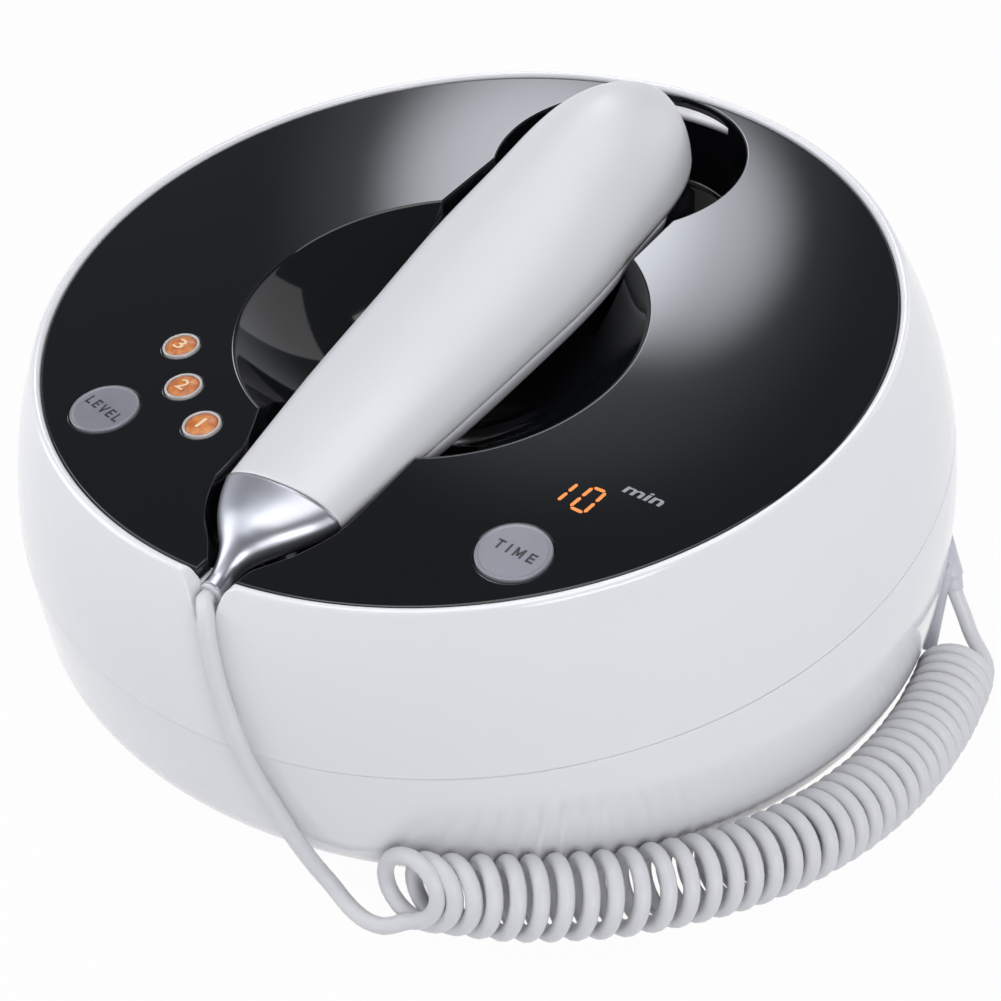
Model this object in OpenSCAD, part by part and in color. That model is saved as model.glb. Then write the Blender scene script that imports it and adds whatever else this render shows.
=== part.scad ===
// Facial toning device: round base with a tilted black panel, and a handpiece
// on a curly cord that rests in the panel. Millimetres, +Z up, the user sits at -Y.
// Origin: on the table, under the middle of the casing's box.

/* [Casing] */
// Largest width of the round casing
body_d = 245; // [244:0.5:246]
// Tilt of the top panel towards the user, in degrees
panel_tilt = 9.45; // [7:0.05:11]
// Height of the panel's centre above the table
panel_h = 93; // [92:0.5:94]
// Distance of the panel's centre in front of the casing's middle
panel_shift = 9.75; // [8:0.25:12]
// Depth of the widest line of the casing below the panel
belly = 58; // [54:1:62]
// Radius of the wall's curve above the widest line
upper_arc = 120; // [110:1:150]
// Radius of the wall's curve below the widest line
lower_arc = 165; // [150:1:200]
// Depth of the seam between the two shells below the panel
seam_depth = 36; // [32:1:40]
// Thickness of the shells
wall = 2.5; // [2:0.1:3]
// Radius of the rounded lower edge
foot_round = 18; // [14:1:20]
// Height of the casing's floor above the table
floor_h = 2; // [1.5:0.1:3]
// Width of the raised lip round the panel
lip_w = 2.6; // [2:0.1:3.4]
// Height of the lip above the panel
lip_h = 1; // [0.6:0.1:1.6]

/* [Panel] */
// Thickness of the panel
panel_t = 3; // [2.6:0.1:3.6]
// Wall of the recesses moulded in the panel
recess_wall = 2; // [1.6:0.1:2.4]
// Width of the ledge that carries the panel
ledge_w = 4; // [3:0.5:5]
// Radius of the finger bowl
bowl_r = 50.6; // [46:0.2:54]
// Depth of the finger bowl
bowl_depth = 24; // [22:0.5:26]
// Radius of the pocket for the handpiece's head
pocket_r = 34; // [32:0.5:34.5]
// Depth of the pocket
pocket_depth = 26; // [24:0.5:30]
// Depth of the saddle that the handpiece rests in
saddle_depth = 15.2; // [15.2:0.1:18]
// Depth of the channel under the handpiece's lower part
channel_depth = 18; // [16:0.5:20]
// Depth of the channel's end under the tail
tail_depth = 11.5; // [10:0.5:13]

/* [Buttons and lamps] */
// Diameter of the two buttons
button_d = 16.6; // [14:0.2:16.8]
// Height of the buttons above the panel
button_h = 0.6; // [0.4:0.1:1.2]
// Travel of the buttons
button_travel = 0.8; // [0.5:0.1:1]
// Diameter of a level lamp with its ring
lamp_d = 9.2; // [8:0.2:11]
// Height of a lamp above the panel
lamp_h = 0.8; // [0.4:0.1:1.2]

/* [Handpiece] */
// Length of the handpiece from its tail ring to its tip
handle_len = 194.7; // [191:0.1:196]
// Largest width of the handpiece
handle_w = 49.2; // [44:0.2:50]
// Wall of the handpiece
handle_wall = 2; // [1.6:0.1:2.4]
// Turn of the handpiece on the panel, in degrees
handle_yaw = 3.65; // [3.4:0.05:4]
// Diameter of the collar round the treatment head
collar_d = 32; // [28:0.5:33]
// Diameter of an electrode
electrode_d = 7; // [6:0.5:8]

/* [Cord] */
// Diameter of the handpiece's cord
cord_d = 3.8; // [3.4:0.1:4]
// Outer diameter of the curly part
curl_d = 19.2; // [17:0.1:19.2]

/* [Fits] */
// Gap round fitted parts
gap = 0.2; // [0.1:0.05:0.3]
// Gap under a part that rests on another body
rest_gap = 0.3; // [0.2:0.05:0.4]

/* [Hidden] */
$fn = 96;
body_r = body_d / 2;
eps = 0.01;

// ---- places on the panel, measured from its centre: to the right, and up the slope
bowl_at = [0.5, -10.3];
pocket_at = [0.1, 69.8];
level_at = [-48, -77.4];
time_at = [63.1, -66.4];
lamps_at = [[-48.7, -50.7], [-37.1, -61.8], [-23.4, -69.8]];
display_at = [65.8, -45.5];
ring_at = [10.8, -104.7];
saddle_left = -30;
saddle_right = 28.5;
channel_right_edge = [[26.8, -30], [26.8, -55], [27.2, -68], [27, -80.2], [24, -89.2], [21.9, -93.1],
  [19.8, -96.4], [18.4, -98.8], [18, -102]];
channel_left_edge = [[8.1, -102], [7.8, -100.6], [4.9, -97.4], [2, -94.6], [-1.8, -91.3], [-4.8, -87.6],
  [-7.9, -82.1], [-8.5, -78.7], [-9, -74.5], [-10.6, -68.2], [-16.5, -56.9], [-20, -50], [-20, -30]];

// ---- outer form of the casing
function wall_r(w) = w > -belly
  ? body_r - upper_arc + sqrt(upper_arc * upper_arc - (w + belly) * (w + belly))
  : body_r - lower_arc + sqrt(lower_arc * lower_arc - (w + belly) * (w + belly));
form_depth = 120;
pan_shift = 1.5;
pan_lean = 1.7;
pan_lean_z = 38;
rim_r = wall_r(0);
lip_r = rim_r - lip_w;
panel_r = lip_r - gap;
ledge_t = 2;
seam_steps = 9;
form_steps = 14;
arc_steps = 8;
seam_w = [for (i = [0:seam_steps]) -seam_depth * (1 - i / seam_steps)];
form_w = [for (i = [0:form_steps]) -form_depth + (form_depth - seam_depth) * i / form_steps];

// Puts children on the panel: u to the right, v up the slope, w out of the panel
module on_panel(u = 0, v = 0, w = 0, turn = 0) {
  translate([0, -panel_shift, panel_h]) rotate([panel_tilt, 0, 0]) translate([u, v, w])
    rotate(turn) children();
}

// Height above the table of the point under (x, y) on a plane parallel to the panel
function plane_z(y, w) = panel_h + (w + sin(panel_tilt) * (y + panel_shift)) / cos(panel_tilt);

// Form of the casing under the seam, shrunk by inset
module lower_form(inset, top = 0) {
  corner = foot_round - inset;
  corner_a = asin((foot_round - floor_h - inset) / corner);
  intersection() {
    on_panel() rotate_extrude($fn = 180)
      polygon(concat([[0, -form_depth]], [for (w = form_w) [wall_r(w) - inset, w]],
        [[wall_r(-seam_depth) - inset, top - seam_depth], [0, top - seam_depth]]));
    translate([0, pan_shift, 0]) rotate_extrude($fn = 180)
      polygon(concat([[0, floor_h + inset]],
        [for (i = [0:arc_steps]) let (a = -corner_a * (1 - i / arc_steps))
          [body_r - foot_round + corner * cos(a), foot_round + corner * sin(a)]],
        [[body_r + pan_lean - inset, pan_lean_z], [body_r + pan_lean - inset, panel_h + 20],
        [0, panel_h + 20]]));
  }
}

// ---- columns that the case screws hold
column_r = 5;
column_at = [[-102, -44], [102, -44], [-78, 78], [78, 78]];
screw_d = 3;
screw_head_d = 6;
screw_up = 12;
head_down = 10;

module columns(d, from, to) {
  for (p = column_at)
    translate([p[0], p[1], plane_z(p[1], -seam_depth) + from]) cylinder(d = d, h = to - from);
}

// ---- notch in the lip for the cord: a round bottom at [across, height], opening upwards
notch_at = [12.2, -4.8];
notch_r = 3.8;
notch_top = [8.4, 19];

module notch_block() {
  on_panel(notch_top[0] - 4, -rim_r - 4, -16) cube([notch_top[1] - notch_top[0] + 8, 11, 16]);
}

module notch_cut() {
  on_panel(0, -98, 0) rotate([90, 0, 0]) linear_extrude(20) hull() {
    translate(notch_at) circle(notch_r, $fn = 48);
    translate([notch_top[0], 1]) square([notch_top[1] - notch_top[0], 2]);
  }
}

// ---- outlines of the recesses, grown by grow
module channel_outline(grow) {
  polygon(concat([for (p = channel_right_edge) [p[0] + grow, p[1]]],
    [[18 + grow, -panel_r - 3], [8.1 - grow, -panel_r - 3]],
    [for (p = channel_left_edge) [p[0] - grow, p[1]]]));
}

module recess_forms(grow, reach) {
  intersection() {
    union() {
      translate([pocket_at[0], pocket_at[1], -pocket_depth - grow])
        cylinder(r = pocket_r + grow, h = pocket_depth + grow + 1);
      translate([saddle_left - grow, bowl_at[1] + 25, -saddle_depth - grow])
        cube([saddle_right - saddle_left + 2 * grow, 50, saddle_depth + grow + 1]);
      translate([0, 0, -tail_depth - grow]) linear_extrude(tail_depth + grow + 1)
        channel_outline(grow);
      intersection() {
        translate([0, 0, -channel_depth - grow]) linear_extrude(channel_depth + grow + 1)
          channel_outline(grow);
        translate([-60, -85 - grow, -40]) cube([120, 60, 60]);
      }
      bowl(grow);
    }
    translate([0, 0, -40]) cylinder(r = reach, h = grow > 0 ? 40 : 50, $fn = 180);
  }
}

// The finger bowl is a shallow ball segment
module bowl(grow) {
  ball_r = (bowl_r * bowl_r + bowl_depth * bowl_depth) / (2 * bowl_depth);
  intersection() {
    translate([bowl_at[0], bowl_at[1], ball_r - bowl_depth]) sphere(r = ball_r + grow, $fn = 120);
    translate([bowl_at[0], bowl_at[1], -40]) cylinder(r = bowl_r + grow, h = grow > 0 ? 40 : 41);
  }
}

module upper_shell() {
  color("ghostwhite") difference() {
    on_panel() rotate_extrude($fn = 180)
      polygon(concat([[0, -seam_depth]], [for (w = seam_w) [wall_r(w), w]],
        [[rim_r - 0.6, lip_h * 0.7], [rim_r - 1.4, lip_h], [lip_r + 0.5, lip_h * 0.8],
        [lip_r, 0.2], [lip_r, -1], [0, -1]]));
    difference() {
      on_panel() rotate_extrude($fn = 180)
        polygon(concat([[0, -seam_depth - 1]], [[wall_r(-seam_depth) - wall, -seam_depth - 1]],
          [for (i = [0:seam_steps - 1]) let (w = -seam_depth + (seam_depth - panel_t - ledge_t)
            * i / (seam_steps - 1)) [wall_r(w) - wall, w]],
          [[lip_r - ledge_w, -panel_t - ledge_t], [lip_r - ledge_w, -panel_t],
          [lip_r, -panel_t], [lip_r, 2], [0, 2]]));
      intersection() {
        union() {
          columns(2 * column_r, -1, seam_depth);
          notch_block();
        }
        on_panel(0, 0, -seam_depth) difference() {
          cylinder(r = body_r, h = seam_depth);
          translate([0, 0, seam_depth - 16]) cylinder(r = lip_r, h = 17);
        }
      }
    }
    on_panel() intersection() {
      recess_forms(recess_wall + gap, lip_r);
      translate([0, 0, -39]) cylinder(r = body_r, h = 39 - panel_t);
    }
    notch_cut();
    columns(screw_d - 0.3, -1, screw_up + 1);
    on_panel() for (a = panel_screw_a)
      rotate(a) translate([panel_screw_r, 0, -panel_t - ledge_t - 1])
        cylinder(d = panel_screw_d + 2 * gap, h = ledge_t + 2, $fn = 24);
  }
}

// ---- screws that hold the panel to the ledge
panel_screw_a = [25, 155, 180, 0, -100];
panel_screw_d = 2;
panel_screw_r = lip_r - ledge_w / 2 - 0.2;
panel_screw_in = 2;

module top_panel() {
  color([0.12, 0.12, 0.14]) on_panel() difference() {
    union() {
      translate([0, 0, -panel_t]) cylinder(r = panel_r, h = panel_t, $fn = 180);
      recess_forms(recess_wall, panel_r);
      board_bosses(level_turn, level_bosses);
      board_bosses(display_turn, display_bosses);
    }
    recess_forms(0, panel_r + 1);
    for (p = [level_at, time_at])
      translate([p[0], p[1], -panel_t - 1]) cylinder(d = button_d + 2 * gap, h = panel_t + 2);
    for (p = lamps_at)
      translate([p[0], p[1], -panel_t - 1]) cylinder(d = lamp_d + 2 * gap, h = panel_t + 2);
    translate([display_at[0] - display_l / 2 - gap, display_at[1] - display_b / 2 - gap, -panel_t - 1])
      cube([display_l + 2 * gap, display_b + 2 * gap, 2]);
    for (a = panel_screw_a)
      rotate(a) translate([panel_screw_r, 0, -panel_t - 1])
        cylinder(d = panel_screw_d, h = 1 + panel_screw_in, $fn = 24);
    boss_holes(level_turn, level_bosses);
    boss_holes(display_turn, display_bosses);
  }
}

// ---- boards under the panel
board_w = -10;
board_t = 1.6;
boss_d = 5.2;
level_turn = -31.8;
display_turn = 50;
level_board_box = [[-24, 65], [24, 97]];
display_board_box = [[-22, 66], [20, 98]];
level_bosses = [[-21, 76.5], [20, 80.5], [-20, 93.5], [20, 93.5]];
display_bosses = [[-18, 70], [16.5, 94], [16.5, 70]];
display_l = 16;
display_b = 11;
board_screw_d = 2;

// Puts children in a board's own place: y outwards from the panel's centre, x along the rim
module on_board(turn) { rotate(turn) mirror([0, 1, 0]) children(); }

module board_bosses(turn, places) {
  on_board(turn) for (p = places)
    translate([p[0], p[1], board_w]) cylinder(d = boss_d, h = -board_w - panel_t + 0.5, $fn = 32);
}

module boss_holes(turn, places) {
  on_board(turn) for (p = places)
    translate([p[0], p[1], board_w - 1]) cylinder(d = board_screw_d, h = 6, $fn = 24);
}

module panel_board(turn, box, places) {
  on_panel() on_board(turn) difference() {
    translate([box[0][0], box[0][1], board_w - board_t])
      cube([box[1][0] - box[0][0], box[1][1] - box[0][1], board_t]);
    for (p = places)
      translate([p[0], p[1], board_w - board_t - 1])
        cylinder(d = board_screw_d + 2 * gap, h = board_t + 2, $fn = 24);
  }
}

module level_board() { color("darkgreen") panel_board(level_turn, level_board_box, level_bosses); }
module display_board() {
  color("darkgreen") panel_board(display_turn, display_board_box, display_bosses);
}

module board_screws() {
  color("silver") {
    for (b = [[level_turn, level_bosses], [display_turn, display_bosses]])
      on_panel() on_board(b[0]) for (p = b[1]) translate([p[0], p[1], board_w - board_t]) {
        translate([0, 0, -1.4]) cylinder(d = 3.8, h = 1.4, $fn = 32);
        translate([0, 0, -eps]) cylinder(d = board_screw_d, h = board_t + 4, $fn = 24);
      }
  }
}

module panel_screws() {
  color("silver") on_panel() for (a = panel_screw_a)
    rotate(a) translate([panel_screw_r, 0, -panel_t - ledge_t]) {
      translate([0, 0, -1.4]) cylinder(d = 3.6, h = 1.4, $fn = 32);
      translate([0, 0, -eps])
        cylinder(d = panel_screw_d, h = ledge_t + panel_screw_in - 0.2, $fn = 24);
    }
}

// ---- buttons, lamps and display
flange_t = 1.2;
stem_d = 5;
switch_a = 6;

module button(at) {
  flange_top = -panel_t - gap;
  color([0.66, 0.67, 0.7]) on_panel(at[0], at[1]) {
    rotate_extrude() polygon([[0, flange_top - flange_t - 1.6], [stem_d / 2, flange_top - flange_t - 1.6],
      [stem_d / 2, flange_top - flange_t], [button_d / 2 + 0.9, flange_top - flange_t],
      [button_d / 2 + 0.9, flange_top], [button_d / 2, flange_top],
      [button_d / 2, button_h - 0.4], [button_d / 2 - 0.4, button_h], [0, button_h]]);
  }
}

module switch_at(at) {
  top = -panel_t - gap - flange_t - 1.6 - button_travel - rest_gap;
  color([0.2, 0.2, 0.22]) on_panel(at[0], at[1]) {
    translate([-switch_a / 2, -switch_a / 2, board_w]) cube([switch_a, switch_a, top - 1 - board_w]);
    translate([0, 0, board_w + 0.5]) cylinder(d = 3.4, h = top - board_w - 0.5, $fn = 32);
  }
}

module level_button() { button(level_at); }
module time_button() { button(time_at); }
module level_switch() { switch_at(level_at); }
module time_switch() { switch_at(time_at); }

lens_d = lamp_d - 1.6;

module lamp_rings() {
  color([0.82, 0.83, 0.86]) for (p = lamps_at) on_panel(p[0], p[1])
    rotate_extrude() polygon([[lens_d / 2 + gap / 2, -panel_t - 1.2], [lamp_d / 2 + 1, -panel_t - 1.2],
      [lamp_d / 2 + 1, -panel_t], [lamp_d / 2, -panel_t], [lamp_d / 2, lamp_h * 0.5],
      [lamp_d / 2 - 0.3, lamp_h * 0.7], [lens_d / 2 + gap / 2, lamp_h * 0.6]]);
}

module lamp_lenses() {
  dome_r = 12;
  color([0.88, 0.5, 0.14]) for (p = lamps_at) on_panel(p[0], p[1]) {
    intersection() {
      translate([0, 0, -panel_t - 1.2]) cylinder(d = lens_d, h = panel_t + 1.2 + lamp_h);
      translate([0, 0, lamp_h - dome_r]) sphere(r = dome_r);
    }
    translate([0, 0, -panel_t - 2.4]) cylinder(d = lamp_d + 2, h = 1.2);
  }
}

module level_leds() {
  color([1, 0.85, 0.5]) for (p = lamps_at) on_panel(p[0] - 1.6, p[1] - 1.4, board_w) {
    cube([3.2, 2.8, 1.6]);
    translate([1.6, 1.4, 1.6 - eps]) cylinder(d = 2.4, h = 1.2, $fn = 32);
  }
}

module display_module() {
  color([0.25, 0.2, 0.16]) on_panel(display_at[0] - display_l / 2, display_at[1] - display_b / 2, board_w)
    cube([display_l, display_b, -board_w - panel_t + 0.9]);
}

// ---- lower shell and what it carries
floor_in = floor_h + wall;
board_z = floor_in + 9;
main_board_at = [-12, -45];
main_board_size = [100, 90];
post_at = [[-6, -39], [82, -39], [-6, 39], [82, 39]];
transformer_at = [-58, 0];
transformer_size = [50, 42, 44];
foot_d = 16;
foot_peg = 1.2;
foot_at = [[-68, -62], [68, -62], [-68, 66], [68, 66]];
rear_w = 70;
rear_h = 30;
rear_z = 12;
rear_y = 111;
rear_t = 2.5;
frame_t = 2.4;

module rear_opening(grow, from, to) {
  translate([-rear_w / 2 - grow, from, rear_z - grow]) cube([rear_w + 2 * grow, to - from, rear_h + 2 * grow]);
}

module lower_shell() {
  color("ghostwhite") difference() {
    lower_form(0);
    difference() {
      lower_form(wall, 2);
      for (p = column_at)
        translate([p[0], p[1], 0]) cylinder(r = column_r, h = plane_z(p[1], -seam_depth));
      for (p = post_at) translate([p[0], p[1], 0]) cylinder(d = 7, h = board_z);
      for (s = [-1, 1])
        translate([transformer_at[0] + s * 32, transformer_at[1], 0]) cylinder(d = 9, h = floor_in + 3);
      rear_opening(frame_t + gap, rear_y - 2, body_r + 5);
    }
    rear_opening(gap, rear_y, body_r + 5);
    rear_opening(-3, rear_y - 5, rear_y + 1);
    for (p = foot_at) translate([p[0], p[1], 0]) cylinder(d = foot_d + 2 * gap, h = floor_h + foot_peg);
    for (p = column_at) {
      translate([p[0], p[1], 0])
        cylinder(d = screw_head_d + 1, h = plane_z(p[1], -seam_depth) - head_down);
      translate([p[0], p[1], 0]) cylinder(d = screw_d + 2 * gap, h = panel_h);
    }
    for (p = post_at) translate([p[0], p[1], board_z - 7]) cylinder(d = board_screw_d + 0.5, h = 8, $fn = 24);
    for (s = [-1, 1]) translate([transformer_at[0] + s * 32, transformer_at[1], floor_h + 1])
      cylinder(d = 3, h = 8, $fn = 24);
    gland_hole(gland_d + 2 * gap);
  }
}

module case_screws() {
  color("silver") for (p = column_at) translate([p[0], p[1], plane_z(p[1], -seam_depth)]) {
    translate([0, 0, -head_down - 2.4]) cylinder(d = screw_head_d, h = 2.4);
    translate([0, 0, -head_down - eps]) cylinder(d = screw_d - 0.4, h = head_down + screw_up);
  }
}

module rubber_feet() {
  color([0.2, 0.2, 0.2]) for (p = foot_at) translate([p[0], p[1], 0]) rotate_extrude()
    polygon([[0, 0], [foot_d / 2 - 0.8, 0], [foot_d / 2, 0.8], [foot_d / 2, floor_h + foot_peg],
      [0, floor_h + foot_peg]]);
}

module main_board() {
  color("darkgreen") difference() {
    translate([main_board_at[0], main_board_at[1], board_z])
      cube([main_board_size[0], main_board_size[1], board_t]);
    for (p = post_at) translate([p[0], p[1], board_z - 1]) cylinder(d = 3, h = board_t + 2, $fn = 24);
  }
}

module chassis_screws() {
  color("silver") {
    for (p = post_at) translate([p[0], p[1], board_z + board_t]) {
      cylinder(d = 5, h = 1.8, $fn = 32);
      translate([0, 0, -board_t - 5]) cylinder(d = board_screw_d + 0.5, h = board_t + 5 + eps, $fn = 24);
    }
    for (s = [-1, 1]) translate([transformer_at[0] + s * 32, transformer_at[1], floor_in + 3 + 1.5]) {
      cylinder(d = 6, h = 2.2, $fn = 32);
      translate([0, 0, -1.5 - 4]) cylinder(d = 2.8, h = 5.5 + eps, $fn = 24);
    }
  }
}

// Laminated core with a wound coil, on a bent foot plate
module mains_transformer() {
  base_z = floor_in + 3;
  color([0.45, 0.42, 0.4]) translate([transformer_at[0], transformer_at[1], base_z]) {
    difference() {
      translate([-38, -9, 0]) cube([76, 18, 1.5]);
      for (s = [-1, 1]) translate([s * 32, 0, -1]) cylinder(d = 3.4, h = 4, $fn = 24);
    }
    difference() {
      translate([-transformer_size[0] / 2, -10, 1.5 - eps]) cube([transformer_size[0], 20, transformer_size[2]]);
      for (s = [-1, 1]) translate([s * 13 - 4.5, -11, 10]) cube([9, 22, 28]);
    }
    translate([-17.5, -transformer_size[1] / 2, 10]) cube([35, transformer_size[1], 28]);
  }
}

board_top = board_z + board_t;

module output_transformer() {
  color([0.75, 0.6, 0.2]) translate([14, 18, board_top]) {
    cube([24, 20, 4]);
    translate([2, 4, 4 - eps]) cube([20, 12, 18]);
    translate([12, 10, 8]) cylinder(d = 19, h = 10);
  }
}

module heat_sink() {
  color([0.75, 0.76, 0.78]) translate([60, -20, board_top]) {
    cube([5, 50, 26]);
    for (i = [0:6]) translate([5 - eps, i * 8, 0]) cube([13, 2, 26]);
  }
}

module power_transistors() {
  color([0.15, 0.15, 0.15]) for (y = [-12, 4, 20]) translate([60 - 4.6, y - 5, board_top]) {
    cube([4.6, 10, 16]);
    translate([3.2, 0, 16 - eps]) cube([1.4, 10, 5]);
  }
}

module capacitors() {
  color([0.2, 0.25, 0.45]) for (c = [[4, -26, 16, 30], [24, -28, 13, 24], [42, -30, 10, 18], [5, 4, 8, 13]])
    translate([c[0], c[1], board_top]) cylinder(d = c[2], h = c[3]);
}

module relay() { color([0.2, 0.35, 0.6]) translate([14, -10, board_top]) cube([19, 15, 15]); }

module fuse() {
  color([0.8, 0.82, 0.84]) translate([40, 8, board_top]) {
    for (y = [0, 16]) translate([0, y, 0]) cube([7, 4, 6.5]);
    translate([3.5, 1, 5]) rotate([-90, 0, 0]) cylinder(d = 5, h = 18, $fn = 32);
  }
}

module terminal_block() {
  color([0.2, 0.5, 0.3]) translate([46, 30, board_top]) difference() {
    cube([25, 8, 10]);
    for (i = [0:4]) translate([2.5 + i * 5, 4, 4]) cylinder(d = 3, h = 7, $fn = 24);
  }
}

// ---- rear: plate, inlet and switch
inlet_at = [-16, 27];
inlet_size = [24, 16];
switch_at_x = 17;
switch_size = [20, 13.5];
socket_size = [16, 8.6];

module rear_plate() {
  color([0.75, 0.76, 0.8]) difference() {
    rear_opening(0, rear_y, rear_y + rear_t);
    translate([inlet_at[0] - inlet_size[0] / 2 - gap, rear_y - 1, inlet_at[1] - inlet_size[1] / 2 - gap])
      cube([inlet_size[0] + 2 * gap, rear_t + 2, inlet_size[1] + 2 * gap]);
    translate([switch_at_x - switch_size[0] / 2 - gap, rear_y - 1, inlet_at[1] - switch_size[1] / 2 - gap])
      cube([switch_size[0] + 2 * gap, rear_t + 2, switch_size[1] + 2 * gap]);
  }
}

// Two-pin inlet: a rounded slot with two pins
module power_inlet() {
  color([0.1, 0.1, 0.11]) translate([inlet_at[0], rear_y + rear_t, inlet_at[1]]) {
    difference() {
      union() {
        translate([-inlet_size[0] / 2, -18, -inlet_size[1] / 2]) cube([inlet_size[0], 18 + eps, inlet_size[1]]);
        translate([-inlet_size[0] / 2 - 2, 0, -inlet_size[1] / 2 - 2])
          cube([inlet_size[0] + 4, 2, inlet_size[1] + 4]);
      }
      hull() for (s = [-1, 1]) translate([s * (socket_size[0] - socket_size[1]) / 2, 3, 0])
        rotate([90, 0, 0]) cylinder(d = socket_size[1], h = 17, $fn = 32);
    }
    for (s = [-1, 1]) translate([s * 4.3, -0.5, 0]) rotate([90, 0, 0]) cylinder(d = 2.4, h = 14, $fn = 24);
  }
}

rocker_pin_y = rear_y + rear_t - 1.5;

module switch_frame() {
  a = switch_size[0];
  b = switch_size[1];
  color([0.1, 0.1, 0.11]) translate([switch_at_x, rear_y + rear_t, inlet_at[1]]) difference() {
    union() {
      translate([-a / 2, -15, -b / 2]) cube([a, 15 + eps, b]);
      translate([-a / 2 - 1.6, 0, -b / 2 - 1.6]) cube([a + 3.2, 1.8, b + 3.2]);
    }
    translate([-a / 2 + 1.5, -9, -b / 2 + 1.5]) cube([a - 3, 20, b - 3]);
    translate([0, -1.5, -b]) cylinder(d = 2.4, h = 2 * b, $fn = 32);
  }
}

// Rocker with its pin along Z, tipped to its off side
module power_rocker() {
  h = switch_size[1] - 3 - 2 * rest_gap;
  l = switch_size[0] / 2 - 1.5 - 0.8;
  color([0.16, 0.16, 0.17]) translate([switch_at_x, rocker_pin_y, inlet_at[1]]) {
    rotate(rocker_swing / 2) translate([0, 0, -h / 2]) linear_extrude(h)
      polygon([[-l, -2.2], [-2, -4.5], [2, -4.5], [l, -2.2], [l, 3.8], [0, 2.6], [-l, 3.8]]);
    translate([0, 0, -switch_size[1] / 2 + 0.2]) cylinder(d = 2.4 - 2 * 0.1, h = switch_size[1] - 0.4, $fn = 32);
  }
}

rocker_swing = 14;

// ---- cord housing on the right rear wall, and its gland
housing_a = [106, 112];
housing_z = [6, 33];
housing_out = 1.2;
gland_d = 6.4;
exit_at = [117.6, 39.4, 28.4];
exit_way = [0.56, -0.3, -0.77];

module along_exit(from) {
  translate(exit_at) rotate([0, acos(exit_way[2]), atan2(exit_way[1], exit_way[0])])
    translate([0, 0, from]) children();
}

module gland_hole(d) { along_exit(-16) cylinder(d = d, h = 24); }

module cord_housing() {
  color([0.82, 0.83, 0.87]) difference() {
    translate([0, pan_shift, housing_z[0]]) rotate([0, 0, housing_a[0] - 90])
      rotate_extrude(angle = housing_a[1] - housing_a[0], $fn = 180)
        translate([body_r - 14, 0]) square([14 + housing_out, housing_z[1] - housing_z[0]]);
    lower_form(-0.1);
    gland_hole(gland_d + 2 * gap);
  }
}

module cord_gland() {
  color([0.85, 0.86, 0.88]) difference() {
    along_exit(-11) cylinder(d = gland_d, h = 11);
    along_exit(-12) cylinder(d = cord_d, h = 10);
  }
}

// ---- handpiece, in its own frame: q across, s from the tail ring to the tip, w out of the panel
seam_w_handle = -3;
round_p = 2 / 2.25;
arc_n = 16;
cone_to = 26.3;
head_from = 155.5;
head_drop = 167;
tip_w = 7.1;
base_end = 174;
// Rows: place, share of the half width, height of the top, height of the underside
handle_rows = [[26.3, 0.65, 4.6, -8.2], [60.9, 0.808, 8, -13.5], [90.5, 0.912, 9.8, -15],
  [120.1, 1, 12.6, -14.3], [144.9, 0.972, 16, -13.9], [170, 0.948, 19.2, -13.5], [200, 0.948, 19.2, -13.5]];

module on_handle(q = 0, s = 0, w = 0) {
  on_panel(ring_at[0], ring_at[1], 0, handle_yaw) translate([q, s, w]) children();
}

// Smooth curve through one column of the rows
function row_of(s) = max([for (k = [0:len(handle_rows) - 2]) if (s >= handle_rows[k][0]) k else 0]);
function slope_at(k, c) = let (a = max(k - 1, 0), b = min(k + 1, len(handle_rows) - 1))
  (handle_rows[b][c] - handle_rows[a][c]) / (handle_rows[b][0] - handle_rows[a][0]);
function form_at(s, c) = let (k = row_of(s), h = handle_rows[k + 1][0] - handle_rows[k][0],
  t = (s - handle_rows[k][0]) / h)
  (2 * t * t * t - 3 * t * t + 1) * handle_rows[k][c] + (t * t * t - 2 * t * t + t) * h * slope_at(k, c)
  + (3 * t * t - 2 * t * t * t) * handle_rows[k + 1][c] + (t * t * t - t * t) * h * slope_at(k + 1, c);
function round_off(x, p) = pow(max(1 - pow(max(x, 0), p), 0), 1 / p);
function half_w(s) = form_at(s, 1) * handle_w / 2 * round_off((s - head_from) / (handle_len - head_from), 2.3);
function top_w(s) = tip_w + (form_at(s, 2) - tip_w) * round_off((s - head_drop) / (handle_len - head_drop), 2.1);
function base_round(s) = round_off((s - head_from) / (base_end - head_from), 2);
function base_half_w(s) = form_at(s, 1) * handle_w / 2 * base_round(s);
function base_low(s) = (seam_w_handle - form_at(s, 3)) * (0.4 + 0.6 * base_round(s));

// One cross arc over the seam plane
function arc_row(s, half, height) = [for (j = [0:arc_n]) let (a = 180 * j / arc_n)
  [half * sign(cos(a)) * pow(abs(cos(a)), round_p), s, height * pow(abs(sin(a)), round_p)]];

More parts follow.
